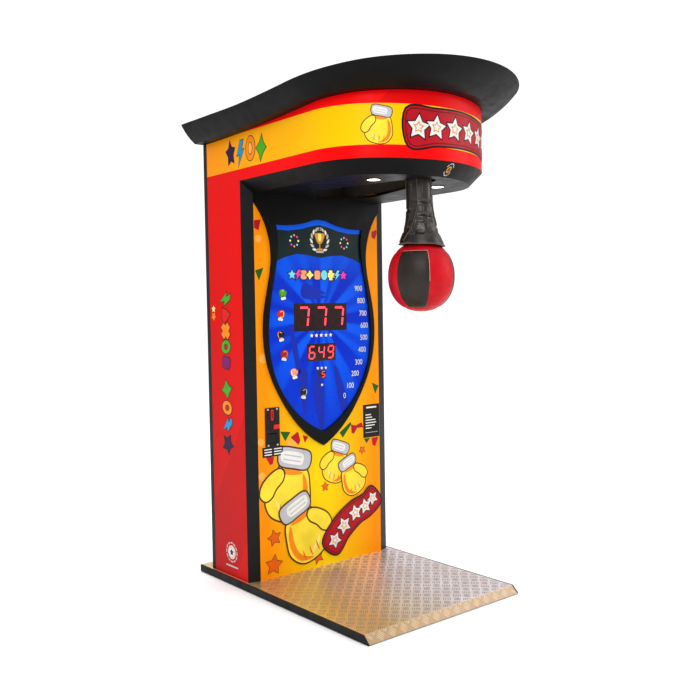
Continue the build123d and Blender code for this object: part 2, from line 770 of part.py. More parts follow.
def build_latch_hook():
    """Drawn latched, tooth down, then turned up to its released rest."""
    arm = block(-3, 3, latch_y - 77, latch_y, latch_z - 8, latch_z + 8)
    tooth = block(-3, 3, latch_y - 77, latch_y - 66, latch_z - 50, latch_z)
    tail = block(-3, 3, latch_y, latch_y + tail_reach + 7, latch_z - 6, latch_z + 6)
    boss = rod("X", (latch_y, latch_z), 11, -3, 3)
    hook = arm + tooth + tail + boss - rod("X", (latch_y, latch_z), 4.08, -10, 10)
    hook -= block(-5, 5, latch_y + tail_reach - 2.7, latch_y + tail_reach + 4.5,
                  latch_z - 2.4, latch_z + 2.4)
    pin = Pos(0, latch_y, latch_z)
    save("latch_hook", pin * Rot(-latch_turn, 0, 0) * pin.inverse() * hook)


def build_solenoid():
    y = latch_y + tail_reach
    bore = rod("Z", (0, y), 8.3, 1600, 1700)
    frame = block(-20.8, 20.8, y - 19, y + 19, 1642, 1682)
    coil_gap = block(-21, 21, y - 19.5, y - 15, 1646, 1678) + block(-21, 21, y + 15, y + 19.5, 1646, 1678)
    save("solenoid_coil", frame - coil_gap - bore)

    pin_z = latch_z - tail_reach * tan(radians(latch_turn))
    plunger = rod("Z", (0, y), 8, pin_z + 9, 1664)
    fork = block(-8, 8, y - 7, y + 7, pin_z - 6, pin_z + 9)
    gap = block(-3.5, 3.5, y - 8, y + 8, pin_z - 7, pin_z + 8.8)
    cross = rod("X", (y, pin_z), 2, -8, 8)
    save("solenoid_plunger", plunger + fork - gap + cross)


# ---------------------------------------------------------------- rear door
def build_rear_door():
    door = block(-door_half, door_half, tower_rear - 22, tower_rear - 4, door_low, door_high)
    door -= rod("Y", (lock_x, lock_z), 10.1, tower_rear - 30, tower_rear)
    for row in range(8):
        z = 1180 + row * 16
        door -= block(-90, 90, tower_rear - 30, tower_rear, z - 1.7, z + 1.7)
    save("rear_door", door)


def build_hinges():
    on_frame = []
    on_door = []
    pins = []
    for z in hinge_heights:
        bore = rod("Z", (hinge_x, hinge_y), 2.55, z - 60, z + 60)
        plate = block(hinge_x + 5, hinge_x + 40, tower_rear, tower_rear + 2, z - 32, z + 32)
        for low in (z - 32, z + 12):
            arm = block(hinge_x + 2, hinge_x + 7, tower_rear, hinge_y, low, low + knuckle)
            plate += arm + rod("Z", (hinge_x, hinge_y), knuckle_r, low, low + knuckle)
        on_frame.append(plate - bore)
        face = tower_rear - 4
        leaf = block(hinge_x - 41, hinge_x - 4, face, face + 2, z - 32, z + 32)
        leaf += block(hinge_x - 7, hinge_x - 2, face, hinge_y, z - 11.5, z + 11.5)
        leaf += rod("Z", (hinge_x, hinge_y), knuckle_r, z - 11.5, z + 11.5)
        on_door.append(leaf - bore)
        pins.append(rod("Z", (hinge_x, hinge_y), 2.5, z - 34, z + 34))
    save("hinge_leaves_frame", Compound(children=on_frame))
    save("hinge_leaves_door", Compound(children=on_door))
    save("hinge_pins", Compound(children=pins))


def build_lock():
    face = tower_rear - 4
    housing = rod("Y", (lock_x, lock_z), 10, face - 20, face)
    housing += chamfer(rod("Y", (lock_x, lock_z), 14, face, face + 3).edges().group_by(Axis.Y)[-1], 1)
    housing -= rod("Y", (lock_x, lock_z), 6.06, face - 30, face + 10)
    save("lock_housing", housing)
    core = rod("Y", (lock_x, lock_z), 6, tower_rear - 30, face + 3)
    core -= block(lock_x - 0.8, lock_x + 0.8, face - 8, face + 5, lock_z - 4, lock_z + 4)
    cam = block(lock_x - 7, lock_x + 7, tower_rear - 30, tower_rear - 27, lock_z - 9, lock_z + 45)
    cam = fillet(cam.edges().filter_by(Axis.Y), 5)
    save("lock_barrel", core + cam)


# ---------------------------------------------------------------- mains inlet and switch
def build_mains_inlet():
    """One module: a three-pin inlet below, a rocker switch above."""
    front = tower_rear - 22
    body = block(inlet_x - 23.5, inlet_x + 23.5, front, tower_rear, inlet_z - 29, inlet_z + 29)
    flange = block(inlet_x - 29, inlet_x + 29, tower_rear, tower_rear + 3, inlet_z - 35, inlet_z + 35)
    flange = fillet(flange.edges().filter_by(Axis.Y), 4)
    socket = block(inlet_x - 12, inlet_x + 12, front + 4, tower_rear + 4, inlet_z - 24, inlet_z - 5)
    window = block(inlet_x - 14, inlet_x + 14, front + 4, tower_rear + 4, rocker_z - 11, rocker_z + 11)
    axle_hole = rod("X", (tower_rear, rocker_z), 2.06, inlet_x - 17, inlet_x + 17)
    module = body + flange - socket - window - axle_hole
    for x, z in ((-7, -18), (7, -18), (0, -10)):
        module += block(inlet_x + x - 1, inlet_x + x + 1, front + 4, tower_rear - 3,
                        inlet_z + z - 2.5, inlet_z + z + 2.5)
    save("mains_inlet", module)

    outline = [(tower_rear - 5, -8.4), (tower_rear + 3, -9.2), (tower_rear + 4.5, 0),
               (tower_rear + 7, 9.2), (tower_rear - 1, 8.7)]
    rocker = slab_yz([(y, rocker_z + z) for y, z in outline], inlet_x - 13.2, inlet_x + 13.2)
    rocker += rod("X", (tower_rear, rocker_z), 2, inlet_x - 16.5, inlet_x + 16.5)
    save("switch_rocker", rocker)


# ---------------------------------------------------------------- build and write
ledge_trim = above_ledge()
build_base()
build_side_panels(ledge_trim)
build_nose_band(ledge_trim)
build_soffit()
build_downlights()
build_canopy()
build_roof()
build_posts()
build_back_frame(ledge_trim)
build_speaker()
build_tower_brackets()
build_display()
build_display_modules()
build_front_panel()
build_notice_plates()
build_coin_plate()
build_reject_button()
build_coin_return()
build_coin_path()
build_electronics()
build_mechanism_frame()
build_bearings()
build_arm()
build_ball()
build_sleeve()
build_latch_bridge()
build_latch_hook()
build_solenoid()
build_rear_door()
build_hinges()
build_lock()
build_mains_inlet()

os.makedirs("parts", exist_ok=True)
for name, shape in parts.items():
    export_step(shape, f"parts/{name}.step")
print(len(parts), "parts written")
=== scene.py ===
import bpy
import bmesh
import json
from math import atan2, cos, degrees, exp, pi, radians, sin, sqrt
from mathutils import Matrix, Vector, noise


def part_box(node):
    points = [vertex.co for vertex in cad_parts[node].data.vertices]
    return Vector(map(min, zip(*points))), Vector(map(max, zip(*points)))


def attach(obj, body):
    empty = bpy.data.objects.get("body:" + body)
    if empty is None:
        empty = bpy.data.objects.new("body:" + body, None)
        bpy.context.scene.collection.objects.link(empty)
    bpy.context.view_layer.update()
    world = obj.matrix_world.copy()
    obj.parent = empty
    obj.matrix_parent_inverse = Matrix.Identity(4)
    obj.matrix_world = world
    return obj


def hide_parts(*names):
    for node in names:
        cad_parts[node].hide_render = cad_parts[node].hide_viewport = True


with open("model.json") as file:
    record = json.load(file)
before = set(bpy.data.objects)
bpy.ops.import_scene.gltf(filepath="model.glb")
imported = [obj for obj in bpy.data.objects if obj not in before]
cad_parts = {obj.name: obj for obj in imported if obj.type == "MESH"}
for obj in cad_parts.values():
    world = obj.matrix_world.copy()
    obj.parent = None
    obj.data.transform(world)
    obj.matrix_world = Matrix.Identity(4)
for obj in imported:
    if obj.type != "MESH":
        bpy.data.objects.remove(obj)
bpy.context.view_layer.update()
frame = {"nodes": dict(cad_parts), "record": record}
scene = bpy.context.scene

# ---------------------------------------------------------------- places taken from the frame
MM = 0.001
panel_low, panel_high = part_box("front_panel")
band_low, band_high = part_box("nose_band")
ball_low, ball_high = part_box("ball")
sleeve_low, sleeve_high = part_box("sleeve")
side_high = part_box("side_panel_left")[1]
plate_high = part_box("tread_plate")[1]
base_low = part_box("base_board")[0]

front_y = panel_low.y                      # plane of the front panel
display_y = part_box("display_panel")[0].y   # plane of the score display
half_width = band_high.x
nose_tip = band_low.y
nose_back = band_high.y                    # where the band's corners start
back_frame_front = side_high.y
band_foot = band_low.z
bag_y = (ball_low.y + ball_high.y) / 2

corner_r = 248 * MM                        # plan radius of the head's corners
yellow_low = 1551 * MM                     # the yellow stripe round the head
yellow_high = 1679 * MM
film = 0.2 * MM                            # thickness of one layer of print
bevel_run = 26 * MM                        # how far back the tread plate's front bevel reaches
bevel_foot = base_low.y                    # where that bevel starts
board_skin = 1 * MM                        # how deep a board's bare inner face is taken to be


# ---------------------------------------------------------------- materials
def srgb(red, green, blue):
    """Linear colour from 0-255 screen values."""
    def linear(value):
        value /= 255
        return value / 12.92 if value < 0.04045 else ((value + 0.055) / 1.055) ** 2.4
    return (linear(red), linear(green), linear(blue), 1)


class Finish:
    """A Principled material, with short calls for the nodes that vary it over the frame's metres."""

    def __init__(self, name, roughness=0.5, metal=0.0, **constants):
        self.material = bpy.data.materials.new(name)
        self.material.use_nodes = True
        self.tree = self.material.node_tree
        self.shader = self.tree.nodes["Principled BSDF"]
        self.shader.inputs["Roughness"].default_value = roughness
        self.shader.inputs["Metallic"].default_value = metal
        self.shader.inputs["Specular IOR Level"].default_value = 0.3
        for socket, value in constants.items():
            self.shader.inputs[socket.replace("_", " ")].default_value = value
        self.place = self.node("ShaderNodeTexCoord").outputs["Object"]

    def node(self, kind, inputs=(), **settings):
        node = self.tree.nodes.new(kind)
        for key, value in settings.items():
            setattr(node, key, value)
        for socket, value in dict(inputs).items():
            self.give(node.inputs[socket], value)
        return node

    def give(self, socket, value):
        if isinstance(value, bpy.types.NodeSocket):
            self.tree.links.new(value, socket)
        else:
            socket.default_value = value

    def math(self, operation, first, second=0.0):
        return self.node("ShaderNodeMath", {0: first, 1: second}, operation=operation).outputs[0]

    def between(self, value, low, high):
        """1 where the value is between the two, else 0."""
        return self.math("MULTIPLY", self.math("GREATER_THAN", value, low),
                         self.math("LESS_THAN", value, high))

    def axis(self, name):
        return self.node("ShaderNodeSeparateXYZ", {0: self.place}).outputs[name]

    def stretched(self, factors):
        inputs = {0: self.place, 1: factors}
        return self.node("ShaderNodeVectorMath", inputs, operation="MULTIPLY").outputs[0]

    def noise(self, scale, detail=3.0, stretch=None, rough=0.5):
        place = self.stretched(stretch) if stretch else self.place
        inputs = {"Vector": place, "Scale": scale, "Detail": detail, "Roughness": rough}
        return self.node("ShaderNodeTexNoise", inputs).outputs["Fac"]

    def cells(self, scale):
        return self.node("ShaderNodeTexVoronoi", {"Vector": self.place, "Scale": scale}).outputs["Distance"]

    def spread(self, value, low, high, new_low=0.0, new_high=1.0):
        inputs = {0: value, 1: low, 2: high, 3: new_low, 4: new_high}
        return self.node("ShaderNodeMapRange", inputs, clamp=True).outputs[0]

    def mix(self, share, first, second):
        node = self.node("ShaderNodeMix", data_type="RGBA")
        self.give(node.inputs["Factor"], share)
        for socket, value in ((6, first), (7, second)):
            self.give(node.inputs[socket], value)
        return node.outputs[2]

    def colour(self, value):
        self.give(self.shader.inputs["Base Color"], value)
        return self

    def rough(self, value, low, high, rough_low, rough_high):
        self.give(self.shader.inputs["Roughness"], self.spread(value, low, high, rough_low, rough_high))
        return self

    def bump(self, height, depth, strength=1.0):
        node = self.node("ShaderNodeBump", {"Height": height, "Distance": depth, "Strength": strength})
        self.give(self.shader.inputs["Normal"], node.outputs["Normal"])
        return self


def mottled(name, colour, dark, roughness, metal=0.0, scale=30, grain=900, depth=0.05, **constants):
    """A plain surface with faint patches of tone, uneven gloss and a fine grain."""
    finish = Finish(name, roughness, metal, **constants)
    patches = finish.noise(scale, 4)
    finish.colour(finish.mix(finish.spread(patches, 0.35, 0.7), colour, dark))
    finish.rough(finish.noise(scale * 2.3, 3), 0.3, 0.7, roughness * 0.85, min(1, roughness * 1.2))
    finish.bump(finish.noise(grain, 2), depth * MM, 0.6)
    return finish.material


def shaded(colour, factor, lift=0.0):
    """The colour made darker or paler."""
    return tuple(channel * factor + lift for channel in colour[:3]) + (1,)


def ink(name, colour):
    """Printed vinyl: one ink, slightly uneven, under a satin film."""
    return mottled(name, colour, shaded(colour, 0.86), 0.42, scale=14, grain=1500, depth=0.01)


def glow(name, colour, strength):
    """A lit segment: uneven light behind a red film."""
    finish = Finish(name, 0.4, Emission_Strength=strength)
    tone = finish.mix(finish.noise(300, 2), colour, shaded(colour, 0.8))
    finish.give(finish.shader.inputs["Emission Color"], tone)
    finish.colour(tone)
    return finish.material


def bare_board(finish):
    """Raw plywood, as the unprinted inner face of a board shows it."""
    return finish.mix(finish.noise(40, 4, stretch=(1, 1, 0.12)), srgb(148, 112, 72), srgb(190, 152, 106))


def wall_print(name, inner_face=0.0):
    """The vinyl wrap of the sides and the head: red, with the yellow stripe.

    Nearer to the middle than inner_face the board is bare."""
    finish = Finish(name, 0.36, Specular_IOR_Level=0.14)
    y, z = finish.axis("Y"), finish.axis("Z")
    forward = finish.spread(y, 0.5, -0.3)
    height = finish.spread(z, 0.1, 1.5)
    red = finish.mix(height, srgb(190, 0, 2), srgb(224, 0, 2))
    red = finish.mix(forward, red, srgb(255, 2, 10))
    lean = finish.math("ADD", finish.math("MULTIPLY", y, 1.6), z)
    for low, high in ((0.62, 1.10), (1.92, 1.921)):       # a broad darker slant and a hairline
        slant = finish.between(lean, low, high)
        red = finish.mix(finish.math("MULTIPLY", slant, 0.25), red, srgb(150, 0, 8))
    yellow = finish.mix(forward, srgb(250, 158, 2), srgb(255, 204, 0))
    tone = finish.mix(finish.between(z, yellow_low, yellow_high), red, yellow)
    faint = finish.spread(finish.noise(5, 3), 0.3, 0.7, 0.0, 0.05)
    tone = finish.mix(faint, tone, srgb(214, 60, 0))
    if inner_face:
        inside = finish.math("LESS_THAN", finish.math("ABSOLUTE", finish.axis("X")), inner_face)
        tone = finish.mix(inside, tone, bare_board(finish))
    finish.colour(tone)
    finish.rough(finish.noise(40, 3), 0.3, 0.7, 0.3, 0.4)
    finish.bump(finish.noise(60, 2), 0.04 * MM, 0.3)
    return finish.material


def front_print():
    """The front panel's print: yellow in the middle, orange to the sides, bare board behind."""
    finish = Finish("print_front", 0.36, Specular_IOR_Level=0.14)
    across = finish.math("ABSOLUTE", finish.axis("X"))
    tone = finish.mix(finish.spread(across, 0.03, 0.27), srgb(255, 218, 0), srgb(251, 156, 0))
    faint = finish.spread(finish.noise(6, 3), 0.3, 0.7, 0.0, 0.08)
    tone = finish.mix(faint, tone, srgb(240, 110, 0))
    inside = finish.math("GREATER_THAN", finish.axis("Y"), panel_high.y - board_skin)
    finish.colour(finish.mix(inside, tone, bare_board(finish)))
    finish.rough(finish.noise(40, 3), 0.3, 0.7, 0.3, 0.4)
    finish.bump(finish.noise(60, 2), 0.04 * MM, 0.3)
    return finish.material


def display_print():
    """The score display: blue rays that fan out from the lower middle."""
    finish = Finish("print_display", 0.3, Specular_IOR_Level=0.14)
    x, z = finish.axis("X"), finish.math("SUBTRACT", finish.axis("Z"), 1.0)
    turn = finish.math("ARCTAN2", x, z)
    rays = finish.math("SINE", finish.math("MULTIPLY", turn, 15))
    uneven = finish.math("SINE", finish.math("MULTIPLY", turn, 7.3))
    fan = finish.spread(finish.math("ADD", rays, uneven), -0.6, 0.9)
    far = finish.math("SQRT", finish.math("ADD", finish.math("MULTIPLY", x, x),
                                          finish.math("MULTIPLY", z, z)))
    blue = finish.mix(fan, srgb(0, 50, 196), srgb(0, 102, 238))
    blue = finish.mix(finish.spread(far, 0.12, 0.42), blue, srgb(0, 66, 212))
    top = finish.spread(finish.axis("Z"), 1.15, 1.38)
    finish.colour(finish.mix(top, blue, srgb(0, 104, 240)))
    finish.rough(finish.noise(60, 3), 0.3, 0.7, 0.26, 0.34)
    finish.bump(finish.noise(60, 2), 0.03 * MM, 0.3)
    return finish.material


def tread_metal(name, left, right, bevel_painted_light):
    """Mill-finish aluminium, walked on: scratched, with dull warm patches, a painted reflection of the
    cabinet's print that runs from the left tone to the right one, and a painted tone for its bevel: shade on
    the plate, a highlight on the bars.
    """
    finish = Finish(name, 0.3, 0.7)
    worn = finish.spread(finish.noise(9, 5), 0.35, 0.7, 0.0, 0.35)
    # Painted reflection: the tone runs from left to right across the plate, as the cabinet's print would
    # show in it.
    warm = finish.mix(finish.spread(finish.axis("X"), -0.25, 0.12), left, right)
    # Painted light on the bevel: a tone of its own, painted shade on the plate and a painted highlight on
    # the bars.
    bevel = finish.math("LESS_THAN", finish.axis("Y"), bevel_foot + bevel_run - 0.5 * MM)
    warm = finish.mix(finish.math("MULTIPLY", bevel, 0.9), warm, bevel_painted_light)
    finish.colour(finish.mix(worn, warm, srgb(196, 176, 160)))
    scratches = finish.noise(160, 4, stretch=(1, 9, 1))
    finish.rough(scratches, 0.3, 0.75, 0.3, 0.42)
    finish.bump(finish.noise(700, 3, stretch=(6, 1, 1)), 0.05 * MM, 0.5)
    return finish.material


def leather(name, colour, dark, roughness, gloss=0.1):
    """Grained leather with soft creases and rubbed high spots."""
    finish = Finish(name, roughness, Coat_Weight=gloss, Coat_Roughness=0.3,
                    Specular_IOR_Level=0.2 + gloss)
    rubbed = finish.spread(finish.noise(16, 5), 0.35, 0.72)
    finish.colour(finish.mix(rubbed, colour, dark))
    grain = finish.cells(620)
    crease = finish.noise(95, 5, rough=0.65)
    height = finish.math("ADD", finish.math("MULTIPLY", grain, 0.35), crease)
    finish.rough(crease, 0.3, 0.7, roughness * 0.8, roughness * 1.15)
    finish.bump(height, 0.5 * MM, 0.5)
    return finish.material


def moulded(name, colour, roughness=0.42):
    """Vacuum-formed black plastic with a fine pebble grain and rubbed patches."""
    finish = Finish(name, roughness, Specular_IOR_Level=0.18)
    patches = finish.spread(finish.noise(7, 4), 0.3, 0.75)
    finish.colour(finish.mix(patches, colour, shaded(colour, 1.5, 0.002)))
    finish.rough(finish.noise(24, 4), 0.3, 0.7, roughness * 0.85, roughness * 1.2)
    finish.bump(finish.cells(950), 0.09 * MM, 0.5)
    return finish.material


def painted_board(name, colour):
    """Black paint over plywood: faint long grain."""
    finish = Finish(name, 0.5)
    grain = finish.noise(30, 4, stretch=(1, 1, 0.08))
    finish.colour(finish.mix(finish.spread(grain, 0.4, 0.75), colour, shaded(colour, 1.8, 0.003)))
    finish.rough(finish.noise(20, 4), 0.3, 0.7, 0.42, 0.62)
    finish.bump(grain, 0.12 * MM, 0.4)
    return finish.material


def brushed(name, colour, dark, roughness, stretch):
    """Turned or drawn metal: fine lines one way."""
    finish = Finish(name, roughness, 1.0)
    lines = finish.noise(500, 3, stretch=stretch)
    finish.colour(finish.mix(finish.spread(lines, 0.3, 0.7), colour, dark))
    finish.rough(finish.noise(60, 4), 0.3, 0.7, roughness * 0.7, roughness * 1.3)
    finish.bump(lines, 0.03 * MM, 0.4)
    return finish.material


def galvanised():
    """Zinc spangle: cells of slightly different grey."""
    finish = Finish("metal_galvanised", 0.42, 1.0)
    spangle = finish.cells(90)
    finish.colour(finish.mix(finish.spread(spangle, 0.1, 0.8), srgb(196, 200, 202), srgb(158, 164, 168)))
    finish.rough(spangle, 0.1, 0.8, 0.34, 0.5)
    finish.bump(finish.noise(300, 2), 0.03 * MM, 0.4)
    return finish.material


def winding():
    """Fine copper wire, wound in level turns."""
    finish = Finish("copper_winding", 0.28, 1.0)
    turns = finish.math("SINE", finish.math("MULTIPLY", finish.axis("Z"), 6200))
    finish.colour(finish.mix(finish.spread(turns, -1, 1), srgb(150, 78, 32), srgb(214, 128, 64)))
    finish.bump(turns, 0.3 * MM, 0.8)
    return finish.material


def lamp_glass():
    """The frosted, lit face of a downlight."""
    finish = Finish("lamp_glass", 0.35, Emission_Strength=6.0)
    tone = finish.mix(finish.cells(700), srgb(255, 255, 250), srgb(244, 244, 236))
    finish.give(finish.shader.inputs["Emission Color"], tone)
    finish.colour(tone)
    return finish.material


def red_filter():
    """The LED windows: a glossy, near-black red, slightly uneven."""
    finish = Finish("led_filter", 0.12, Coat_Weight=0.6)
    patches = finish.spread(finish.noise(50, 2), 0.3, 0.7)
    finish.colour(finish.mix(patches, srgb(22, 2, 4), srgb(44, 4, 8)))
    return finish.material


FINISHES = {
    "base_black": painted_board("board_base", srgb(18, 18, 19)),
    # Warm to pale across the plate is a painted reflection of the print; the darker bevel tone is painted
    # shade.
    "tread_aluminium": tread_metal("metal_tread", srgb(228, 200, 146), srgb(252, 244, 248),
                                   srgb(172, 144, 112)),
    "pad_rubber": mottled("rubber_pad", srgb(22, 22, 22), srgb(36, 36, 36), 0.85, grain=600, depth=0.1),
    "printed_side": wall_print("print_side", -side_high.x + board_skin),
    "printed_band": wall_print("print_band"),
    "printed_front": front_print(),
    "black_paint": mottled("paint_black", srgb(20, 21, 22), srgb(25, 26, 27), 0.36, grain=1400, depth=0.03),
    "black_wood": painted_board("board_black", srgb(24, 24, 25)),
    "black_moulding": moulded("plastic_black", srgb(8, 8, 9)),
    "display_print": display_print(),
    "led_red": red_filter(),
    "circuit_board": mottled("board_green", srgb(12, 74, 38), srgb(8, 52, 28), 0.35, scale=80),
    "lamp_lens": lamp_glass(),
    "lamp_metal": brushed("metal_lamp", srgb(120, 120, 120), srgb(96, 96, 96), 0.45, (1, 1, 12)),
    "steel_black": mottled("enamel_black", srgb(34, 35, 37), srgb(26, 27, 28), 0.38),
    "steel_bright": brushed("steel_ground", srgb(200, 200, 202), srgb(160, 160, 164), 0.25, (1, 1, 14)),
    "zinc": mottled("zinc_plate", srgb(206, 204, 196), srgb(176, 176, 172), 0.3, 1.0, scale=60),
    "cast_bearing": mottled("cast_grey", srgb(86, 92, 96), srgb(66, 70, 74), 0.55, 0.2, grain=500,
                            depth=0.2),
    "copper_coil": winding(),
    "bumper_rubber": mottled("rubber_bumper", srgb(26, 26, 26), srgb(38, 38, 38), 0.8, grain=500,
                             depth=0.1),
    "sensor_plastic": mottled("plastic_dark", srgb(24, 24, 25), srgb(32, 32, 33), 0.45),
    "coin_plate_metal": mottled("metal_coin_plate", srgb(52, 44, 42), srgb(34, 30, 30), 0.4, 0.3,
                                scale=120, grain=700, depth=0.25),
    "red_plastic": mottled("plastic_red", srgb(226, 14, 22), srgb(190, 6, 14), 0.22, scale=90,
                           Coat_Weight=0.4),
    "galvanised": galvanised(),
    "notice_print": mottled("plate_black", srgb(22, 21, 21), srgb(30, 29, 28), 0.35),
    "sleeve_leather": leather("leather_brown", srgb(46, 38, 33), srgb(28, 23, 20), 0.3, 0.4),
    "ball_leather": leather("leather_crimson", srgb(206, 18, 34), srgb(178, 10, 24), 0.44, 0.02),
    "speaker_black": mottled("cone_black", srgb(28, 28, 28), srgb(40, 40, 40), 0.7, grain=300, depth=0.2),
}


def dress_cad():
    """Each CAD node takes the finish of its slot in the record."""
    for part in frame["record"]["subparts"]:
        node = frame["nodes"][part["node"]]
        for holder in node.material_slots:
            holder.material = FINISHES[part["material_slot"]]


dress_cad()


# ---------------------------------------------------------------- mesh helpers
def add_piece(name, mesh, body, materials):
    """A new object that rides on a body, with the given materials."""
    piece = bpy.data.objects.new(name, mesh)
    scene.collection.objects.link(piece)
    for material in materials:
        mesh.materials.append(material)
    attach(piece, body)
    return piece


def from_bmesh(name, shape, smooth_angle=None):
    """The shape as a mesh, with edges flatter than smooth_angle shaded smooth."""
    mesh = bpy.data.meshes.new(name)
    bmesh.ops.recalc_face_normals(shape, faces=shape.faces[:])
    if smooth_angle is not None:
        for face in shape.faces:
            face.smooth = True
        for edge in shape.edges:
            edge.smooth = edge.calc_face_angle(0) < smooth_angle
    shape.to_mesh(mesh)
    shape.free()
    return mesh


# ---------------------------------------------------------------- printed surfaces
nose_across = half_width - corner_r
nose_along = nose_back - nose_tip
nose_r = (nose_across ** 2 + nose_along ** 2 - corner_r ** 2) / (2 * (nose_along - corner_r))
nose_turn = atan2(nose_across, nose_tip + nose_r - nose_back)
front_run = nose_r * nose_turn
corner_run = corner_r * (pi / 2 - nose_turn)


def on_front(u, v, lift):
    return Vector((u, front_y - lift, v))


def on_display(u, v, lift):
    return Vector((u, display_y - lift, v))


def on_head(u, v, lift):
    """The band: u runs round the head from the middle of its nose, to the right."""
    run, side = abs(u), (1 if u > 0 else -1)
    if run < front_run:
        turn = run / nose_r
        reach = nose_r + lift
        return Vector((side * reach * sin(turn), nose_tip + nose_r - reach * cos(turn), v))
    if run < front_run + corner_run:
        turn = nose_turn + (run - front_run) / corner_r
        reach = corner_r + lift
        return Vector((side * (nose_across + reach * sin(turn)), nose_back - reach * cos(turn), v))
    return Vector((side * (half_width + lift), nose_back + run - front_run - corner_run, v))


def on_chamfer(u, v, lift):
    """The slope under the band: v runs down it from the band's foot."""
    out = lift * cos(pi / 4)
    return on_head(u, band_foot - v - out, out - v)


def head_run(y):
    """How far round the head, from the nose, a place on a straight side lies."""
    return front_run + corner_run + y - nose_back


class Art:
    """Flat printed shapes on one surface, gathered into one piece with a slot for each ink."""

    def __init__(self, surface, bend=None):
        self.surface = surface
        self.bend = bend                   # spacing of the cuts that let a shape curve
        self.shape = bmesh.new()
        self.inks = []

    def put(self, colour, outline, layer=1):
        """Lay one closed outline down as a thin film; higher layers lie over lower ones."""
        if colour not in self.inks:
            self.inks.append(colour)
        film_mesh = bmesh.new()
        face = film_mesh.faces.new([film_mesh.verts.new((u, v, 0)) for u, v in outline])
        grown = bmesh.ops.extrude_face_region(film_mesh, geom=[face])
        for vertex in [v for v in grown["geom"] if isinstance(v, bmesh.types.BMVert)]:
            vertex.co.z = 1
        if self.bend:
            self.cut(film_mesh)
        bmesh.ops.recalc_face_normals(film_mesh, faces=film_mesh.faces[:])
        first = len(self.shape.verts)
        top = (layer + 1) * film
        for vertex in film_mesh.verts:
            lift = top if vertex.co.z > 0.5 else top - 0.8 * film
            self.shape.verts.new(self.surface(vertex.co.x, vertex.co.y, lift))
        self.shape.verts.ensure_lookup_table()
        for part in film_mesh.faces:
            made = self.shape.faces.new([self.shape.verts[first + v.index] for v in part.verts])
            made.material_index = self.inks.index(colour)
        film_mesh.free()

    def cut(self, film_mesh):
        """Upright cuts across the film, so that it can follow a curved surface."""
        low = min(v.co.x for v in film_mesh.verts)
        high = max(v.co.x for v in film_mesh.verts)
        place = low + self.bend
        while place < high:
            parts = film_mesh.verts[:] + film_mesh.edges[:] + film_mesh.faces[:]
            bmesh.ops.bisect_plane(film_mesh, geom=parts, plane_co=(place, 0, 0), plane_no=(1, 0, 0))
            place += self.bend
        film_mesh.verts.index_update()

    def finish(self, name, slot):
        return add_piece(name, from_bmesh(name, self.shape), "cabinet",
                         [INKS[colour] for colour in self.inks])


INK_TONES = {                              # 0-255 screen values
    "black": (20, 14, 14), "white": (238, 236, 232), "grey": (198, 200, 206), "crimson": (190, 8, 34),
    "red": (226, 20, 16), "dark_red": (120, 6, 18), "yellow": (255, 228, 64), "light": (255, 242, 150),
    "gold": (222, 156, 52), "orange": (250, 150, 12), "amber": (240, 112, 12), "brown": (96, 58, 14),
    "peach": (255, 186, 84), "green": (24, 104, 20), "lime": (84, 176, 28), "cyan": (20, 160, 214),
    "purple": (134, 14, 112), "plum": (48, 8, 68), "teal": (2, 34, 40), "navy": (0, 44, 178),
    "sky": (130, 222, 250), "magenta": (242, 66, 196), "salmon": (250, 166, 128),
    "lemon": (250, 246, 140), "unlit": (58, 6, 12),
}
INKS = {name: ink("ink_" + name, srgb(*tone)) for name, tone in INK_TONES.items()}
INKS["lit"] = glow("led_lit", srgb(255, 62, 78), 2.4)


# ---------------------------------------------------------------- outlines, as lists of points
def smooth(points, steps=8):
    """A closed Catmull-Rom curve through the points."""
    count = len(points)
    curve = []
    for i in range(count):
        a, b, c, d = (Vector(points[(i + k) % count]) for k in (-1, 0, 1, 2))
        for step in range(steps):
            t = step / steps
            place = 0.5 * (2 * b + (c - a) * t + (2 * a - 5 * b + 4 * c - d) * t * t
                           + (3 * b - a - 3 * c + d) * t ** 3)
            curve.append((place.x, place.y))
    return curve


def moved(points, u, v, size=1.0, turn=0.0, flip=False):
    """The outline scaled, turned (degrees, anticlockwise) and placed."""
    side = -1 if flip else 1
    angle = radians(turn)
    return [
        (u + size * (side * x * cos(angle) - y * sin(angle)),
         v + size * (side * x * sin(angle) + y * cos(angle)))
        for x, y in points
    ]


def grown(points, distance):
    """The outline pushed outward by a distance, along each point's normal."""
    count = len(points)
    area = sum(points[i - 1][0] * points[i][1] - points[i][0] * points[i - 1][1] for i in range(count))
    way = 1 if area > 0 else -1
    result = []
    for i in range(count):
        before, after = Vector(points[i - 1]), Vector(points[(i + 1) % count])
        here = Vector(points[i])
        first, second = (here - before).normalized(), (after - here).normalized()
        along = (first + second).normalized()
        normal = Vector((along.y, -along.x)) * way
        miter = max(0.45, abs(along.dot(first)))
        place = here + normal * distance / miter
        result.append((place.x, place.y))
    return result


def ellipse(rx, ry=None, count=32):
    ry = ry or rx
    return [(rx * cos(2 * pi * i / count), ry * sin(2 * pi * i / count)) for i in range(count)]


def star(points=5, inner=0.52):
    reach = (1, inner)
    return [(reach[i % 2] * sin(pi * i / points), reach[i % 2] * cos(pi * i / points))
            for i in range(2 * points)]


def bar(width, height, corner=0.3):
    """A rectangle with rounded corners, centred."""
    r = min(width, height) * corner
    points = []
    for quarter in range(4):
        cx = (width / 2 - r) * (1 if quarter in (0, 3) else -1)
        cy = (height / 2 - r) * (1 if quarter in (0, 1) else -1)
        for step in range(5):
            angle = pi / 2 * (quarter + step / 4)
            points.append((cx + r * cos(angle), cy + r * sin(angle)))
    return points


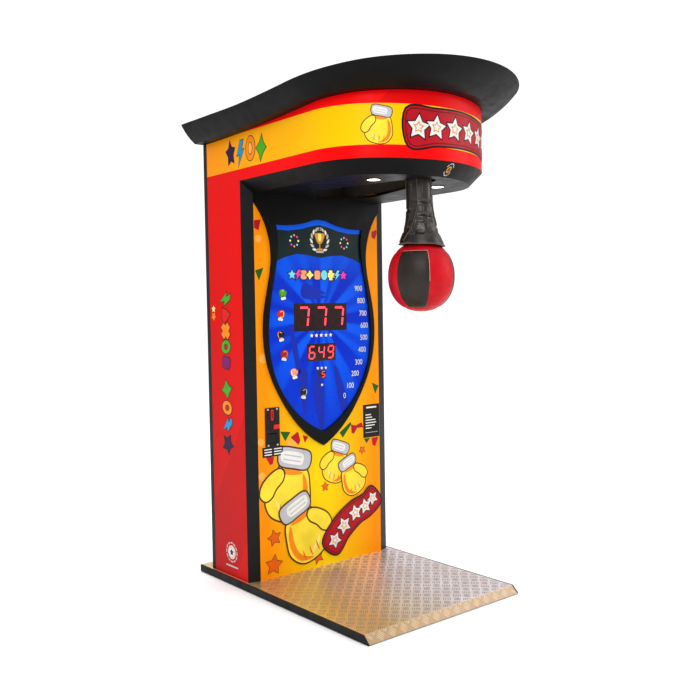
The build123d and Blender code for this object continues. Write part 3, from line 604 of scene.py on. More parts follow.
def bolt():
    return [(0.05, 1), (-0.72, -0.12), (-0.2, -0.08), (-0.5, -1), (0.75, 0.26), (0.24, 0.22), (0.7, 1)]


def cross():
    arm = 0.44
    return [(arm, arm), (1, arm), (1, -arm), (arm, -arm), (arm, -1), (-arm, -1),
            (-arm, -arm), (-1, -arm), (-1, arm), (-arm, arm), (-arm, 1), (arm, 1)]


MITT = smooth([(-0.4, -0.5), (-0.5, -0.2), (-0.66, 0.15), (-0.68, 0.55), (-0.42, 0.88), (0.05, 0.98),
               (0.52, 0.86), (0.78, 0.45), (0.72, 0.0), (0.5, -0.5), (0.05, -0.56)])
THUMB = smooth([(-0.42, -0.42), (-0.66, -0.26), (-0.88, 0.05), (-0.9, 0.36), (-0.7, 0.5),
                (-0.52, 0.38), (-0.42, 0.12), (-0.26, -0.12), (-0.26, -0.34)])
CUFF = smooth([(-0.5, -0.98), (0, -1.04), (0.52, -0.98), (0.52, -0.55), (0.02, -0.5), (-0.46, -0.55)], 6)
SHADE = smooth([(0.62, -0.1), (0.7, 0.36), (0.54, 0.76), (0.12, 0.92), (0.44, 0.62), (0.52, 0.2),
                (0.4, -0.38)])
GLINT = smooth([(-0.36, 0.44), (-0.2, 0.7), (0.1, 0.8), (0.02, 0.68), (-0.2, 0.56)])


def glove(art, u, v, size, turn=0, flip=False, layer=1, fill="yellow", low="orange", cuff="grey"):
    """A cartoon boxing glove: mitt, thumb, laced cuff, shade and glint."""
    line = size * 0.045

    def put(colour, outline, level, edge=True):
        placed = moved(outline, u, v, size, turn, flip)
        if edge:
            art.put("brown", grown(placed, line), layer + level)
        art.put(colour, placed, layer + level + 1)

    put(fill, MITT, 0)
    put(low, SHADE, 1, edge=False)
    put("light", GLINT, 1, edge=False)
    put(cuff, CUFF, 2)
    put(fill, THUMB, 2)
    patch = [(-0.44, -0.9), (0, -0.95), (0.3, -0.9), (0.3, -0.64), (0, -0.6), (-0.4, -0.64)]
    put("white", smooth(patch), 4, edge=False)
    for level in (-0.7, -0.83):
        put("grey", moved(bar(0.62, 0.035), -0.06, level), 5, edge=False)
    for finger in (-0.16, 0.12, 0.38):
        crease = [(finger, 0.88), (finger + 0.03, 0.7), (finger - 0.02, 0.52), (finger - 0.015, 0.72)]
        put("amber", smooth(crease), 2, edge=False)
    put(low, smooth([(-0.5, -0.34), (-0.3, -0.44), (0.1, -0.46), (0.4, -0.4), (0, -0.3)]), 1, edge=False)


def banner(art, spine, height, layer, stars):
    """A wavy ribbon along a spine of points: black rim, crimson body, white stars with gold hearts."""
    upper, lower = [], []
    count = len(spine)
    for i, (u, v) in enumerate(spine):
        before, after = Vector(spine[max(0, i - 1)]), Vector(spine[min(count - 1, i + 1)])
        along = (after - before).normalized()
        half = height[i] / 2
        upper.append((u - along.y * half, v + along.x * half))
        lower.append((u + along.y * half, v - along.x * half))
    body = smooth(upper + lower[::-1], 6)
    art.put("black", grown(body, 0.011), layer)
    art.put("crimson", grown(body, 0.005), layer + 1)
    art.put("dark_red", body, layer + 2)
    art.put("crimson", grown(body, -0.004), layer + 3)
    for number in range(stars):
        share = (number + 0.5) / stars * (count - 1)
        i = min(int(share), count - 2)
        place = Vector(spine[i]).lerp(Vector(spine[i + 1]), share - i)
        tall = height[i] + (height[i + 1] - height[i]) * (share - i)
        along = Vector(spine[i + 1]) - Vector(spine[i])
        turn = degrees(atan2(along.y, along.x))
        stack = (("black", 0.45), ("white", 0.38), ("gold", 0.19), ("white", 0.13))
        for level, (colour, size) in enumerate(stack, layer + 4):
            art.put(colour, moved(star(), place.x, place.y, tall * size, turn - 8), level)


def badge(art, u, v, size, layer=1):
    """A plain round seal: a dashed white ring round a pale disc with a star."""
    for step in range(12):
        turn = step * 30
        dash = moved(bar(size * 0.34, size * 0.14), 0, size * 0.86)
        art.put("grey", moved(dash, u, v, 1, turn), layer)
    art.put("white", moved(ellipse(size * 0.62), u, v), layer)
    art.put("gold", moved(ellipse(size * 0.5), u, v), layer + 1)
    art.put("white", moved(ellipse(size * 0.44), u, v), layer + 2)
    art.put("plum", moved(star(), u, v, size * 0.34), layer + 3)


def outlined(art, colour, outline, edge=0.0035, layer=1, rim="black"):
    """A shape with a darker rim round it."""
    art.put(rim, grown(outline, edge), layer)
    art.put(colour, outline, layer + 1)


# ---------------------------------------------------------------- front panel print
def print_front():
    """Bunting, pale dots, four gloves, small stars and a banner."""
    art = Art(on_front)
    flags = (
        ("green", [(-0.200, 0.580), (-0.153, 0.574), (-0.178, 0.541)]),
        ("crimson", [(-0.153, 0.553), (-0.117, 0.572), (-0.107, 0.535), (-0.116, 0.520)]),
        ("crimson", [(-0.096, 0.556), (-0.070, 0.546), (-0.086, 0.524)]),
        ("green", [(0.088, 0.546), (0.145, 0.584), (0.150, 0.574), (0.104, 0.524)]),
        ("crimson", [(0.148, 0.573), (0.172, 0.566), (0.204, 0.577), (0.212, 0.555), (0.180, 0.556),
                     (0.163, 0.534), (0.150, 0.538)]),
        ("green", [(0.215, 0.507), (0.249, 0.508), (0.229, 0.488)]),
        ("crimson", [(0.257, 0.506), (0.294, 0.507), (0.276, 0.470), (0.262, 0.476)]),
        ("crimson", [(-0.270, 0.494), (-0.230, 0.487), (-0.237, 0.462), (-0.250, 0.459)]),
        ("crimson", [(0.272, 1.352), (0.299, 1.362), (0.299, 1.346), (0.289, 1.322), (0.272, 1.330)]),
        ("crimson", [(-0.299, 1.368), (-0.270, 1.372), (-0.280, 1.332), (-0.299, 1.340)]),
        ("green", [(-0.299, 1.185), (-0.262, 1.196), (-0.282, 1.148)]),
        ("green", [(0.299, 0.72), (0.262, 0.735), (0.280, 0.688)]),
    )
    for colour, outline in flags:
        art.put(colour, outline, 1)
    dots = ((-0.283, 1.302, 0.014), (-0.150, 0.520, 0.026), (-0.288, 0.548, 0.014),
            (-0.286, 0.420, 0.016), (0.235, 0.800, 0.020), (-0.270, 0.860, 0.018))
    for u, v, size in dots:
        art.put("peach", moved(ellipse(size), u, v), 0)
    glove(art, -0.164, 0.368, 0.138, turn=166, flip=True, layer=2)
    glove(art, -0.092, 0.190, 0.132, turn=206, layer=10)
    stars = ((-0.236, 0.180, 0.030, 12), (-0.240, 0.078, 0.038, -8), (-0.032, 0.068, 0.028, 20))
    for u, v, size, turn in stars:
        outlined(art, "amber", moved(star(), u, v, size, turn), 0.002, 2, "brown")
    glove(art, 0.066, 0.430, 0.082, turn=160, flip=True, layer=2)
    glove(art, 0.150, 0.366, 0.080, turn=204, layer=10)
    for u, v, size, turn in ((0.010, 0.340, 0.018, 0), (0.205, 0.462, 0.016, 30)):
        outlined(art, "amber", moved(star(), u, v, size, turn), 0.0015, 2, "brown")
    spine = [(0.030, 0.092), (0.085, 0.160), (0.160, 0.212), (0.226, 0.236), (0.272, 0.272)]
    banner(art, spine, [0.084, 0.098, 0.092, 0.086, 0.074], 18, 5)
    art.finish("front_panel_print", "printed_front")


# ---------------------------------------------------------------- head and side print
def print_head():
    """A glove and a banner round the nose, four shapes on each side, a badge on the chamfer."""
    art = Art(on_head, bend=12 * MM)
    glove(art, -0.256, 1.611, 0.058, turn=170, flip=True, layer=1)
    spine = [(-0.160, 1.606), (-0.060, 1.612), (0.060, 1.616), (0.180, 1.612), (0.290, 1.606)]
    banner(art, spine, [0.108, 0.104, 0.102, 0.098, 0.092], 1, 6)
    size = 0.038
    ring = ellipse(0.95)
    shapes = (("plum", star(5, 0.56), 0.334), ("cyan", bolt(), 0.268), ("orange", ring, 0.202),
              ("lime", star(4, 0.56), 0.134))
    for side in (-1, 1):
        for number, (colour, outline, y) in enumerate(shapes):
            u = -side * head_run(y)
            v = 1.611 + 0.004 * (-1) ** number
            tall = [(0.82 * x, 1.2 * z) for x, z in outline]
            outlined(art, colour, moved(tall, u, v, size, 6 - 4 * number), 0.0025)
            if outline is ring:
                art.put("black", moved(ellipse(0.36, 0.6), u, v, size), 3)
                art.put("peach", moved(ellipse(0.3, 0.53), u, v, size), 4)
    art.finish("head_print", "printed_band")
    badge_art = Art(on_chamfer, bend=6 * MM)
    u, v = 0.015, 0.022
    dash = moved(bar(0.0085, 0.0032), 0, 0.0165)
    for step in (0, 1, 3, 4, 5, 6, 8, 9):                  # ten dashes, less one at each side
        badge_art.put("grey", moved(dash, u, v, 1, 18 + step * 36), 1)
    badge_art.put("gold", moved(ellipse(0.0105, 0.0095), u, v), 1)
    badge_art.put("brown", moved(star(), u, v, 0.0078), 2)
    badge_art.finish("chamfer_print", "printed_band")


def print_side(side):
    """A column of shapes, two small stars and a badge: side is -1 for the left, 1 for the right."""
    def surface(u, v, lift):
        return Vector((side * (half_width + lift), u, v))

    art = Art(surface)
    column = 0.396
    ring = ellipse(0.8, 1)
    shapes = (
        ("plum", star(5, 0.56), 0.534, 0.0378, 99), ("cyan", bolt(), 0.607, 0.03465, 81),
        ("orange", ring, 0.672, 0.03255, 99), ("lime", star(4, 0.58), 0.742, 0.0357, 81),
        ("purple", bar(1.5, 1.8, 0.25), 0.843, 0.0294, 99), ("lime", ring, 0.903, 0.0315, 81),
        ("orange", cross(), 0.963, 0.0315, 135), ("red", star(3, 0.62), 1.022, 0.0357, 81),
        ("lime", bolt(), 1.083, 0.0357, 99),
    )
    for colour, outline, v, size, turn in shapes:
        outlined(art, colour, moved(outline, column, v, size, turn), 0.003)
        if outline is ring:
            art.put("black", moved(ellipse(0.42, 0.36), column, v, size), 3)
            art.put("crimson", moved(ellipse(0.34, 0.28), column, v, size), 4)
    outlined(art, "light", moved(star(), 0.480, 1.046, 0.014), 0.001, 1, "gold")
    outlined(art, "orange", moved(star(), 0.480, 1.018, 0.016, 30), 0.001, 1, "gold")
    badge(art, 0.386, 0.120, 0.042)
    art.put("grey", moved(bar(0.084, 0.006), 0.386, 0.066), 1)
    name = "side_print_right" if side > 0 else "side_print_left"
    art.finish(name, "printed_side")


# ---------------------------------------------------------------- score display print
SEGMENTS = {                               # the seven segments that show each digit
    "0": "abcdef", "4": "bcfg", "5": "acdfg", "6": "acdefg", "7": "abc", "9": "abcdfg",
}


def led_digits(art, text, left, right, low, high, layer):
    """Slanted seven-segment digits, lit ones bright, the others barely seen."""
    pitch = (right - left) / len(text)
    tall = (high - low) * 0.76
    wide = pitch * 0.56
    thick = tall * 0.1
    middle = (low + high) / 2
    lean = 0.12
    places = {
        "a": (0, 0.5, 0), "g": (0, 0, 0), "d": (0, -0.5, 0),
        "f": (-0.5, 0.25, 1), "b": (0.5, 0.25, 1), "e": (-0.5, -0.25, 1), "c": (0.5, -0.25, 1),
    }
    for number, digit in enumerate(text):
        centre = left + pitch * (number + 0.5)
        for segment, (across, up, upright) in places.items():
            if upright:
                outline = bar(thick, tall / 2 - thick * 1.3)
            else:
                outline = bar(wide - thick * 1.3, thick)
            x, z = across * wide, up * (tall - thick)
            placed = [(centre + px + x + lean * (pz + z), middle + pz + z) for px, pz in outline]
            art.put("lit" if segment in SEGMENTS[digit] else "unlit", placed, layer)


def trophy(art, u, v, size, layer):
    """A plain gold cup between two silver sprays of leaves."""
    bowl = smooth([(-0.42, 0.62), (0.42, 0.62), (0.36, 0.2), (0.14, -0.12), (-0.14, -0.12), (-0.36, 0.2)])
    parts = (
        ("gold", bowl, 2), ("lemon", smooth([(-0.14, 0.55), (0.14, 0.55), (0.1, 0.1), (-0.1, 0.1)]), 3),
        ("gold", moved(bar(0.1, 0.4), 0, -0.3), 1), ("gold", moved(bar(0.52, 0.16), 0, -0.56), 2),
        ("grey", moved(bar(0.7, 0.14), 0, -0.74), 1),
    )
    for colour, outline, level in parts:
        art.put(colour, moved(outline, u, v, size), layer + level)
    leaf = smooth([(0, -0.2), (0.1, 0), (0, 0.24), (-0.1, 0)], 4)
    for side in (-1, 1):
        for step in range(7):
            turn = radians(-52 + step * 24)
            x, y = 0.78 * cos(turn), 0.1 + 0.86 * sin(turn)
            placed = moved(leaf, side * x, y, 1, side * (degrees(turn) - 30))
            art.put("grey" if step % 2 else "white", moved(placed, u, v, size), layer + 1)


def number_mesh(text, size, swell):
    """The outline of a printed number as a flat mesh, from the built-in plain font."""
    curve = bpy.data.curves.new("number", "FONT")
    curve.body = text
    curve.size = size
    curve.align_x = "CENTER"
    curve.align_y = "CENTER"
    curve.offset = swell
    curve.extrude = film / 2
    holder = bpy.data.objects.new("number", curve)
    mesh = bpy.data.meshes.new_from_object(holder)
    bpy.data.objects.remove(holder)
    return mesh


def print_scale():
    """Numbers 0 to 900 down the right of the display, pale with a dark edge."""
    places = ((0.193, 1.120), (0.206, 1.071), (0.215, 1.020), (0.221, 0.971), (0.218, 0.922),
              (0.208, 0.873), (0.189, 0.823), (0.169, 0.778), (0.142, 0.731), (0.113, 0.692))
    shape = bmesh.new()
    upright = Matrix.Rotation(pi / 2, 4, "X") @ Matrix.Diagonal((0.86, 1, 1, 1))
    for number, (u, v) in enumerate(places):
        text = str(900 - 100 * number)
        for swell, layer, material in ((0.9 * MM, 1, 0), (0.1 * MM, 3, 1)):
            mesh = number_mesh(text, 31 * MM, swell)
            mesh.transform(Matrix.Translation(on_display(u, v, (layer + 1) * film)) @ upright)
            before = len(shape.faces)
            shape.from_mesh(mesh)
            shape.faces.ensure_lookup_table()
            for face in shape.faces[before:]:
                face.material_index = material
    bmesh.ops.remove_doubles(shape, verts=shape.verts, dist=1e-6)
    add_piece("display_scale", from_bmesh("display_scale", shape), "cabinet",
              [INKS["navy"], INKS["white"]])


def print_display():
    """Everything printed or lit on the score display."""
    art = Art(on_display)
    crest = [(-0.208, 1.339), (-0.150, 1.337), (-0.092, 1.345), (-0.045, 1.357), (0.0, 1.365),
             (0.045, 1.357), (0.092, 1.345), (0.150, 1.337), (0.208, 1.339)]
    wave = [(0.204, 1.222), (0.165, 1.238), (0.110, 1.251), (0.060, 1.248), (0.0, 1.239),
            (-0.060, 1.248), (-0.110, 1.251), (-0.165, 1.238), (-0.204, 1.222)]
    art.put("teal", crest + wave, 1)
    trophy(art, 0, 1.300, 0.052, 2)
    for side in (-1, 1):
        for step in range(8):
            turn = radians(step * 45)
            colour = ("salmon", "magenta", "lemon", "sky")[step % 4]
            u = side * 0.122 + 0.019 * sin(turn)
            v = 1.300 + 0.021 * cos(turn)
            art.put(colour, moved(ellipse(0.0042, count=16), u, v), 2)
    shadows = ([(-0.085, 1.135), (-0.020, 1.125), (0.025, 1.098), (-0.010, 1.100), (0.030, 1.084),
                (-0.085, 1.082)],
               [(-0.150, 0.985), (-0.130, 0.950), (-0.112, 0.880), (-0.104, 0.800), (-0.120, 0.810),
                (-0.142, 0.900)],
               [(-0.112, 0.800), (-0.070, 0.800), (-0.076, 0.660), (-0.094, 0.650)],
               [(-0.045, 0.750), (0.008, 0.760), (0.006, 0.575), (-0.012, 0.574)],
               [(0.062, 0.800), (0.082, 0.798), (0.128, 0.668), (0.096, 0.628)])
    for outline in shadows:
        art.put("navy", smooth(outline, 4), 0)
    title = (("sky", star(5, 0.5), -0.135), ("magenta", bolt(), -0.107),
             ("salmon", bar(1.5, 1.8, 0.3), -0.080), ("lemon", star(4, 0.56), -0.051),
             ("salmon", bar(1.5, 1.8, 0.3), -0.014), ("sky", ellipse(0.8, 1), 0.019),
             ("lemon", cross(), 0.052), ("sky", bolt(), 0.084), ("magenta", star(5, 0.5), 0.116))
    for number, (colour, outline, u) in enumerate(title):
        outlined(art, colour, moved(outline, u, 1.172, 0.0195), 0.003, 1 + 2 * (number % 2))
    icons = (
        (-0.180, 1.097, "lime", "green"), (-0.190, 1.019, "red", "lemon"),
        (-0.192, 0.941, "black", "salmon"), (-0.177, 0.868, "crimson", "gold"),
        (-0.133, 0.796, "salmon", "white"), (-0.089, 0.717, "teal", "grey"),
    )
    for number, (u, v, fill, low) in enumerate(icons):
        glove(art, u, v, 0.020, turn=12 * (-1) ** number, flip=number % 2 == 0, fill=fill, low=low,
              cuff="white")
    for count, v, size in ((5, 0.938, 0.009), (3, 0.810, 0.0075), (1, 0.744, 0.007)):
        for number in range(count):
            u = (number - (count - 1) / 2) * size * 2.6
            outlined(art, "white", moved(star(), u, v, size), 0.0014, 1, "navy")
    border = 8 * MM
    for text, node in (("777", "score_display"), ("649", "record_display")):
        low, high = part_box(node)
        led_digits(art, text, low.x + 10 * MM, high.x - 10 * MM, low.z + border, high.z - border, 1)
    low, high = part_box("credit_display")
    left = (low.x + high.x) / 2 - 4 * MM
    led_digits(art, "5", left, high.x - border, low.z + border, high.z - border, 1)
    art.finish("display_art", "display_print")
    print_scale()


# ---------------------------------------------------------------- plates beside the display
def print_notices():
    """Rows of plain white bars stand for the two plates' text."""
    plate_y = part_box("notice_plates")[0].y

    def surface(u, v, lift):
        return Vector((u, plate_y - lift, v))

    art = Art(surface)
    for v in (0.518, 0.508, 0.498):
        art.put("white", moved(bar(0.034, 0.0045), -0.258, v), 1)
        art.put("white", moved(bar(0.036, 0.0045), -0.214, v), 1)
    art.put("white", moved(bar(0.056, 0.007), 0.256, 0.634), 1)
    for row, width in enumerate((0.030, 0.036, 0.054, 0.058, 0.050, 0.032)):
        art.put("white", moved(bar(width, 0.0045), 0.224 + width / 2, 0.604 - 0.011 * row), 1)
    art.put("grey", moved(bar(0.066, 0.0022), 0.256, 0.531), 1)
    art.finish("notice_print", "notice_print")


print_front()
print_head()
print_side(-1)
print_side(1)
print_display()
print_notices()


# ---------------------------------------------------------------- tread plate bars
tread_cell = 35 * MM                       # side of one square of the pattern
bar_pitch = 6 * MM                         # from one bar of a square to the next
bar_length, bar_width, bar_height = 27 * MM, 3 * MM, 0.4 * MM
bars_each_way = 2                          # bars on each side of a square's middle one


def raise_bar(shape, place, centre, along, across):
    """One closed bar: three rings, each smaller and higher than the last."""
    sides = 10
    last = None
    for share, lift in ((1.0, 0.0), (0.84, 0.75), (0.6, 1.0)):
        ring = []
        for step in range(sides):
            turn = 2 * pi * step / sides
            flat = centre + share * (along * bar_length / 2 * cos(turn) + across * bar_width / 2 * sin(turn))
            ring.append(shape.verts.new(place(flat.x, flat.y, lift * bar_height)))
        if last:
            for step in range(sides):
                after = (step + 1) % sides
                shape.faces.new([last[step], last[after], ring[after], ring[step]])
        else:
            shape.faces.new(ring[::-1])
        last = ring
    shape.faces.new(last)


def build_tread():
    """Five-bar tread pattern, raised on the plate's top and carried down over its bevel."""
    fold = bevel_foot + bevel_run
    foot_z, top_z = base_low.z, plate_high.z
    slope = sqrt(bevel_run ** 2 + (top_z - foot_z) ** 2)
    half_plate = plate_high.x
    depth = plate_high.y - fold + slope
    out = Vector((0, foot_z - top_z, bevel_run)).normalized()

    def place(u, v, lift):
        """v runs from the foot of the bevel, up to the fold and back along the top."""
        if v < slope:
            up = v / slope
            return Vector((u, bevel_foot + up * bevel_run, foot_z + up * (top_z - foot_z))) + out * lift
        return Vector((u, fold + v - slope, top_z + lift))

    def under_tower(u, v):
        y = fold + v - slope
        return abs(u) < half_width + 3 * MM and front_y - 2 * MM < y < back_frame_front + 20 * MM

    shape = bmesh.new()
    steps = int((2 * half_plate + depth) / tread_cell) + 2
    for i in range(-steps, steps):
        for j in range(-steps, steps):
            middle = Vector(((i + j) * tread_cell / sqrt(2), (i - j) * tread_cell / sqrt(2) + slope / 2))
            if abs(middle.x) >= half_plate or not 0 < middle.y < depth:
                continue
            way = radians(45 if (i + j) % 2 else -45)
            along = Vector((cos(way), sin(way)))
            across = Vector((-along.y, along.x))
            reach = bar_length / 2 * abs(cos(way))
            for number in range(-bars_each_way, bars_each_way + 1):
                centre = middle + across * number * bar_pitch
                fits = abs(centre.x) + reach <= half_plate - 1 * MM and reach < centre.y < depth - reach
                if fits and not under_tower(centre.x, centre.y):
                    raise_bar(shape, place, centre, along, across)
    # The bars' tones are painted light: darker than the plate as painted shade, warm to grey across as a
    # painted reflection, and pale on the bevel as a painted highlight.
    bars_worn_with_painted_light = tread_metal("metal_tread_bars", srgb(168, 150, 112), srgb(150, 138, 134),
                            srgb(232, 212, 176))
    add_piece("tread_bars", from_bmesh("tread_bars", shape, radians(60)), "cabinet",
              [bars_worn_with_painted_light])


build_tread()


# ---------------------------------------------------------------- the punch ball and its sleeve
ball_r = (ball_high.x - ball_low.x) / 2
ball_half = (ball_high.z - ball_low.z) / 2
ball_z = (ball_high.z + ball_low.z) / 2
gores = 6
per_gore = 14                              # columns of the mesh in one gore
around = gores * per_gore
first_seam = radians(30)                   # turned from the front, towards the left
cap_latitude = radians(43)                 # where the top cap meets the gores
foot_latitude = radians(-61)               # where the bottom cap does


def round_bag(turn, reach, z):
    """A place round the bag's upright axis: 0 is the front and 90 degrees is the machine's left."""
    return Vector((-reach * sin(turn), bag_y - reach * cos(turn), z))


def simulate(piece, pins, pressure, swell, gravity, frames, cap):
    """Run cloth on the piece, then keep the result in its mesh, each point moved no more than cap.

    pins gives how firmly each point is held, from 0 to 1."""
    group = piece.vertex_groups.new(name="pins")
    for point, hold in pins.items():
        group.add([point], hold, "REPLACE")
    cloth = piece.modifiers.new("cloth", "CLOTH")
    cloth.settings.quality = 6
    cloth.settings.mass = 0.25
    cloth.settings.vertex_group_mass = "pins"
    cloth.settings.use_pressure = pressure > 0
    cloth.settings.uniform_pressure_force = pressure
    cloth.settings.shrink_min = -swell
    cloth.settings.bending_stiffness = 1.5
    cloth.settings.effector_weights.gravity = gravity
    cloth.collision_settings.use_collision = False
    cloth.point_cache.frame_end = frames
    for frame_number in range(1, frames + 1):
        scene.frame_set(frame_number)
    settled = piece.evaluated_get(bpy.context.evaluated_depsgraph_get())
    places = [vertex.co.copy() for vertex in settled.data.vertices]
    piece.modifiers.remove(cloth)
    piece.vertex_groups.remove(group)
    for vertex, place in zip(piece.data.vertices, places):
        move = (place - vertex.co) * (1 - pins.get(vertex.index, 0))
        if move.length > cap:
            move = move.normalized() * cap
        vertex.co += move
    scene.frame_set(1)


def tube(path, radius, sides=8, closed=False):
    """A round cord along a list of points."""
    shape = bmesh.new()
    rings = []
    count = len(path)
    normal = Vector((0.31, 0.17, 0.93))
    for i, place in enumerate(path):
        before = path[i - 1] if closed or i else path[0]
        after = path[(i + 1) % count] if closed or i < count - 1 else path[-1]
        along = (after - before).normalized()
        normal = (normal - along * normal.dot(along)).normalized()
        side = along.cross(normal)
        ring = []
        for step in range(sides):
            turn = 2 * pi * step / sides
            ring.append(shape.verts.new(place + (normal * cos(turn) + side * sin(turn)) * radius))
        rings.append(ring)
    for i in range(count if closed else count - 1):
        near, far = rings[i], rings[(i + 1) % count]
        shift = 0
        if closed and i == count - 1:
            shift = min(range(sides), key=lambda k: (near[0].co - far[k].co).length)
        far = far[shift:] + far[:shift]
        for step in range(sides):
            after = (step + 1) % sides
            shape.faces.new([near[step], near[after], far[after], far[step]])
    if not closed:
        shape.faces.new(rings[0][::-1])
        shape.faces.new(rings[-1])
    return shape


def join(shapes):
    whole = bmesh.new()
    for shape in shapes:
        mesh = bpy.data.meshes.new("part")
        shape.to_mesh(mesh)
        shape.free()
        whole.from_mesh(mesh)
        bpy.data.meshes.remove(mesh)
    return whole


def stitch(place, along, out, length, radius):
    """One thread stitch: a short capsule lying on the surface."""
    ends = [place - along * length / 2 - out * radius, place - along * length / 4 + out * radius * 0.6,
            place + along * length / 4 + out * radius * 0.6, place + along * length / 2 - out * radius]
    return tube(ends, radius, 5)


def keep_smooth(piece):
    """Shade the piece through one more subdivision."""
    smoother = piece.modifiers.new("smooth", "SUBSURF")
    smoother.levels = 1
    smoother.render_levels = 1


def trim(name, parts, material):
    """Piping, welts or stitches, joined into one piece that rides with the bag."""
    add_piece(name, from_bmesh(name, join(parts), radians(60)), "punching_bag", [material])


def ball_latitudes():
    """The rows of the ball's mesh, with one on each cap's seam."""
    rows = 56
    latitudes = [pi * (row / rows - 0.5) for row in range(1, rows)]
    for seam in (cap_latitude, foot_latitude):
        nearest = min(range(len(latitudes)), key=lambda i: abs(latitudes[i] - seam))
        latitudes[nearest] = seam
    return latitudes


def ball_shape(latitudes):
    """The ball before it swells, a little squarer than an ellipsoid, and the points on its seams."""
    shape = bmesh.new()
    start = ball_r - 1.0 * MM
    seam_depth = 1.2 * MM
    stretch = ball_half / ball_r
    square = 2.2                           # exponent: 2 is a plain ellipsoid
    rings = []
    pins = {}
    for latitude in latitudes:
        ring = []
        full = (abs(cos(latitude)) ** square + abs(sin(latitude)) ** square) ** (-1 / square)
        for column in range(around):
            turn = first_seam + 2 * pi * column / around
            on_seam = column % per_gore == 0 or latitude in (cap_latitude, foot_latitude)
            if on_seam:
                pins[len(shape.verts)] = 1.0
            reach = start * full - (seam_depth if on_seam else 0)
            place = round_bag(turn, reach * cos(latitude), ball_z + reach * stretch * sin(latitude))
            ring.append(shape.verts.new(place))
        rings.append(ring)
    foot = shape.verts.new(Vector((0, bag_y, ball_z - start * stretch)))
    crown = shape.verts.new(Vector((0, bag_y, ball_z + start * stretch)))
    for row in range(len(rings) - 1):
        middle = (latitudes[row] + latitudes[row + 1]) / 2
        for column in range(around):
            after = (column + 1) % around
            face = shape.faces.new([rings[row][column], rings[row][after], rings[row + 1][after],
                                    rings[row + 1][column]])
            dark = column // per_gore % 2 == 0 and foot_latitude < middle < cap_latitude
            face.material_index = 1 if dark else 0
    for column in range(around):
        after = (column + 1) % around
        shape.faces.new([foot, rings[0][after], rings[0][column]])
        shape.faces.new([crown, rings[-1][column], rings[-1][after]])
    return shape, pins


def trim_ball(points, latitudes):
    """Pale and red piping along the seams, with a row of stitches on each side."""
    cap_row, foot_row = latitudes.index(cap_latitude), latitudes.index(foot_latitude)
    pale, red, threads = [], [tube(points[foot_row], 0.9 * MM, closed=True)], []
    centre = Vector((0, bag_y, ball_z))
    stitch_length, stitch_r = 2.6 * MM, 0.35 * MM
    for column in range(0, around, per_gore):
        seam = [points[row][column] for row in range(foot_row, cap_row + 1)]
        if column // per_gore % 2 == 0:
            half = len(seam) // 2
            edge = points[cap_row][column:column + per_gore + 1][::-1]
            pale.append(tube(edge + seam[half:-1][::-1], 0.85 * MM, 6))
            red.append(tube(seam[:half + 1], 0.7 * MM, 6))
        for side in (-1, 1):
            for here, after in zip(seam, seam[1:]):
                for share in (0.25, 0.75):
                    place = here.lerp(after, share)
                    out = (place - centre).normalized()
                    sideways = (after - here).normalized().cross(out) * side
                    threads.append(stitch(place + sideways * stitch_length, sideways, out, stitch_length,
                                          stitch_r))
    trim("ball_piping", pale, piping_pale)
    trim("ball_welts", red, piping_red)
    trim("ball_stitches", threads, thread_dark)


def build_ball():
    """Six gores between two caps, swollen between their seams by pressure."""
    latitudes = ball_latitudes()
    shape, pins = ball_shape(latitudes)
    ball = add_piece("bag_ball", from_bmesh("bag_ball", shape, radians(75)), "punching_bag",
                     [FINISHES["ball_leather"], black_leather])
    simulate(ball, pins, pressure=5.0, swell=0.004, gravity=0.0, frames=16, cap=1.6 * MM)
    points = [[ball.data.vertices[row * around + column].co.copy() for column in range(around)]
              for row in range(len(latitudes))]
    keep_smooth(ball)
    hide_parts("ball")
    trim_ball(points, latitudes)


SLEEVE_PROFILE = (                         # height and outer radius, from the top down
    (1.482, 43.6 * MM), (1.440, 43.4 * MM), (1.400, 44.0 * MM), (1.355, 46.4 * MM), (1.330, 50.4 * MM),
    (1.305, 57.0 * MM), (1.285, 64.5 * MM), (1.265, 73.0 * MM), (1.250, 78.5 * MM),
)
sleeve_columns, sleeve_rows = 120, 64      # of its mesh
welt_up = 1.0 * MM                         # how far a seam's welt stands off the leather


def sleeve_reach(z):
    """Outer radius of the sleeve at a height, straight between the places of its profile."""
    for (high, wide), (low, wider) in zip(SLEEVE_PROFILE, SLEEVE_PROFILE[1:]):
        if z >= low:
            return wide + (wider - wide) * max(0.0, (high - z) / (high - low))
    return SLEEVE_PROFILE[-1][1]


def sleeve_seam(z, top, foot):
    """Where round the sleeve a seam runs: straight down the neck, then sweeping out to the hem."""
    share = min(1.0, max(0.0, (1.385 - z) / 0.125))
    return radians(top + (foot - top) * share ** 1.15)


def press_creases(sleeve):
    """The folds that years of punches have pressed into the neck, each with a raised lip below it."""
    creases = ((1.392, 25, 3.4), (1.348, 18, 4.6), (1.326, 30, 2.4), (1.418, -60, 2.6), (1.366, 115, 3.4),
               (1.340, 200, 3.6), (1.302, 80, 2.6), (1.312, -40, 3.2))     # height, side, depth in mm
    for vertex in sleeve.data.vertices:
        place = vertex.co
        out = Vector((place.x, place.y - bag_y, 0)).normalized()
        turn = atan2(-out.x, -out.y)
        press = 0.0
        for height, faces, deep in creases:
            near = max(0.0, cos(turn - radians(faces))) ** 4
            drop = (place.z - height - 5 * MM * sin(turn - radians(faces))) / (5 * MM)
            lip = (place.z - height + 8 * MM - 5 * MM * sin(turn - radians(faces))) / (5 * MM)
            press += deep * MM * near * (0.4 * exp(-lip * lip) - exp(-drop * drop))
        vertex.co += out * press


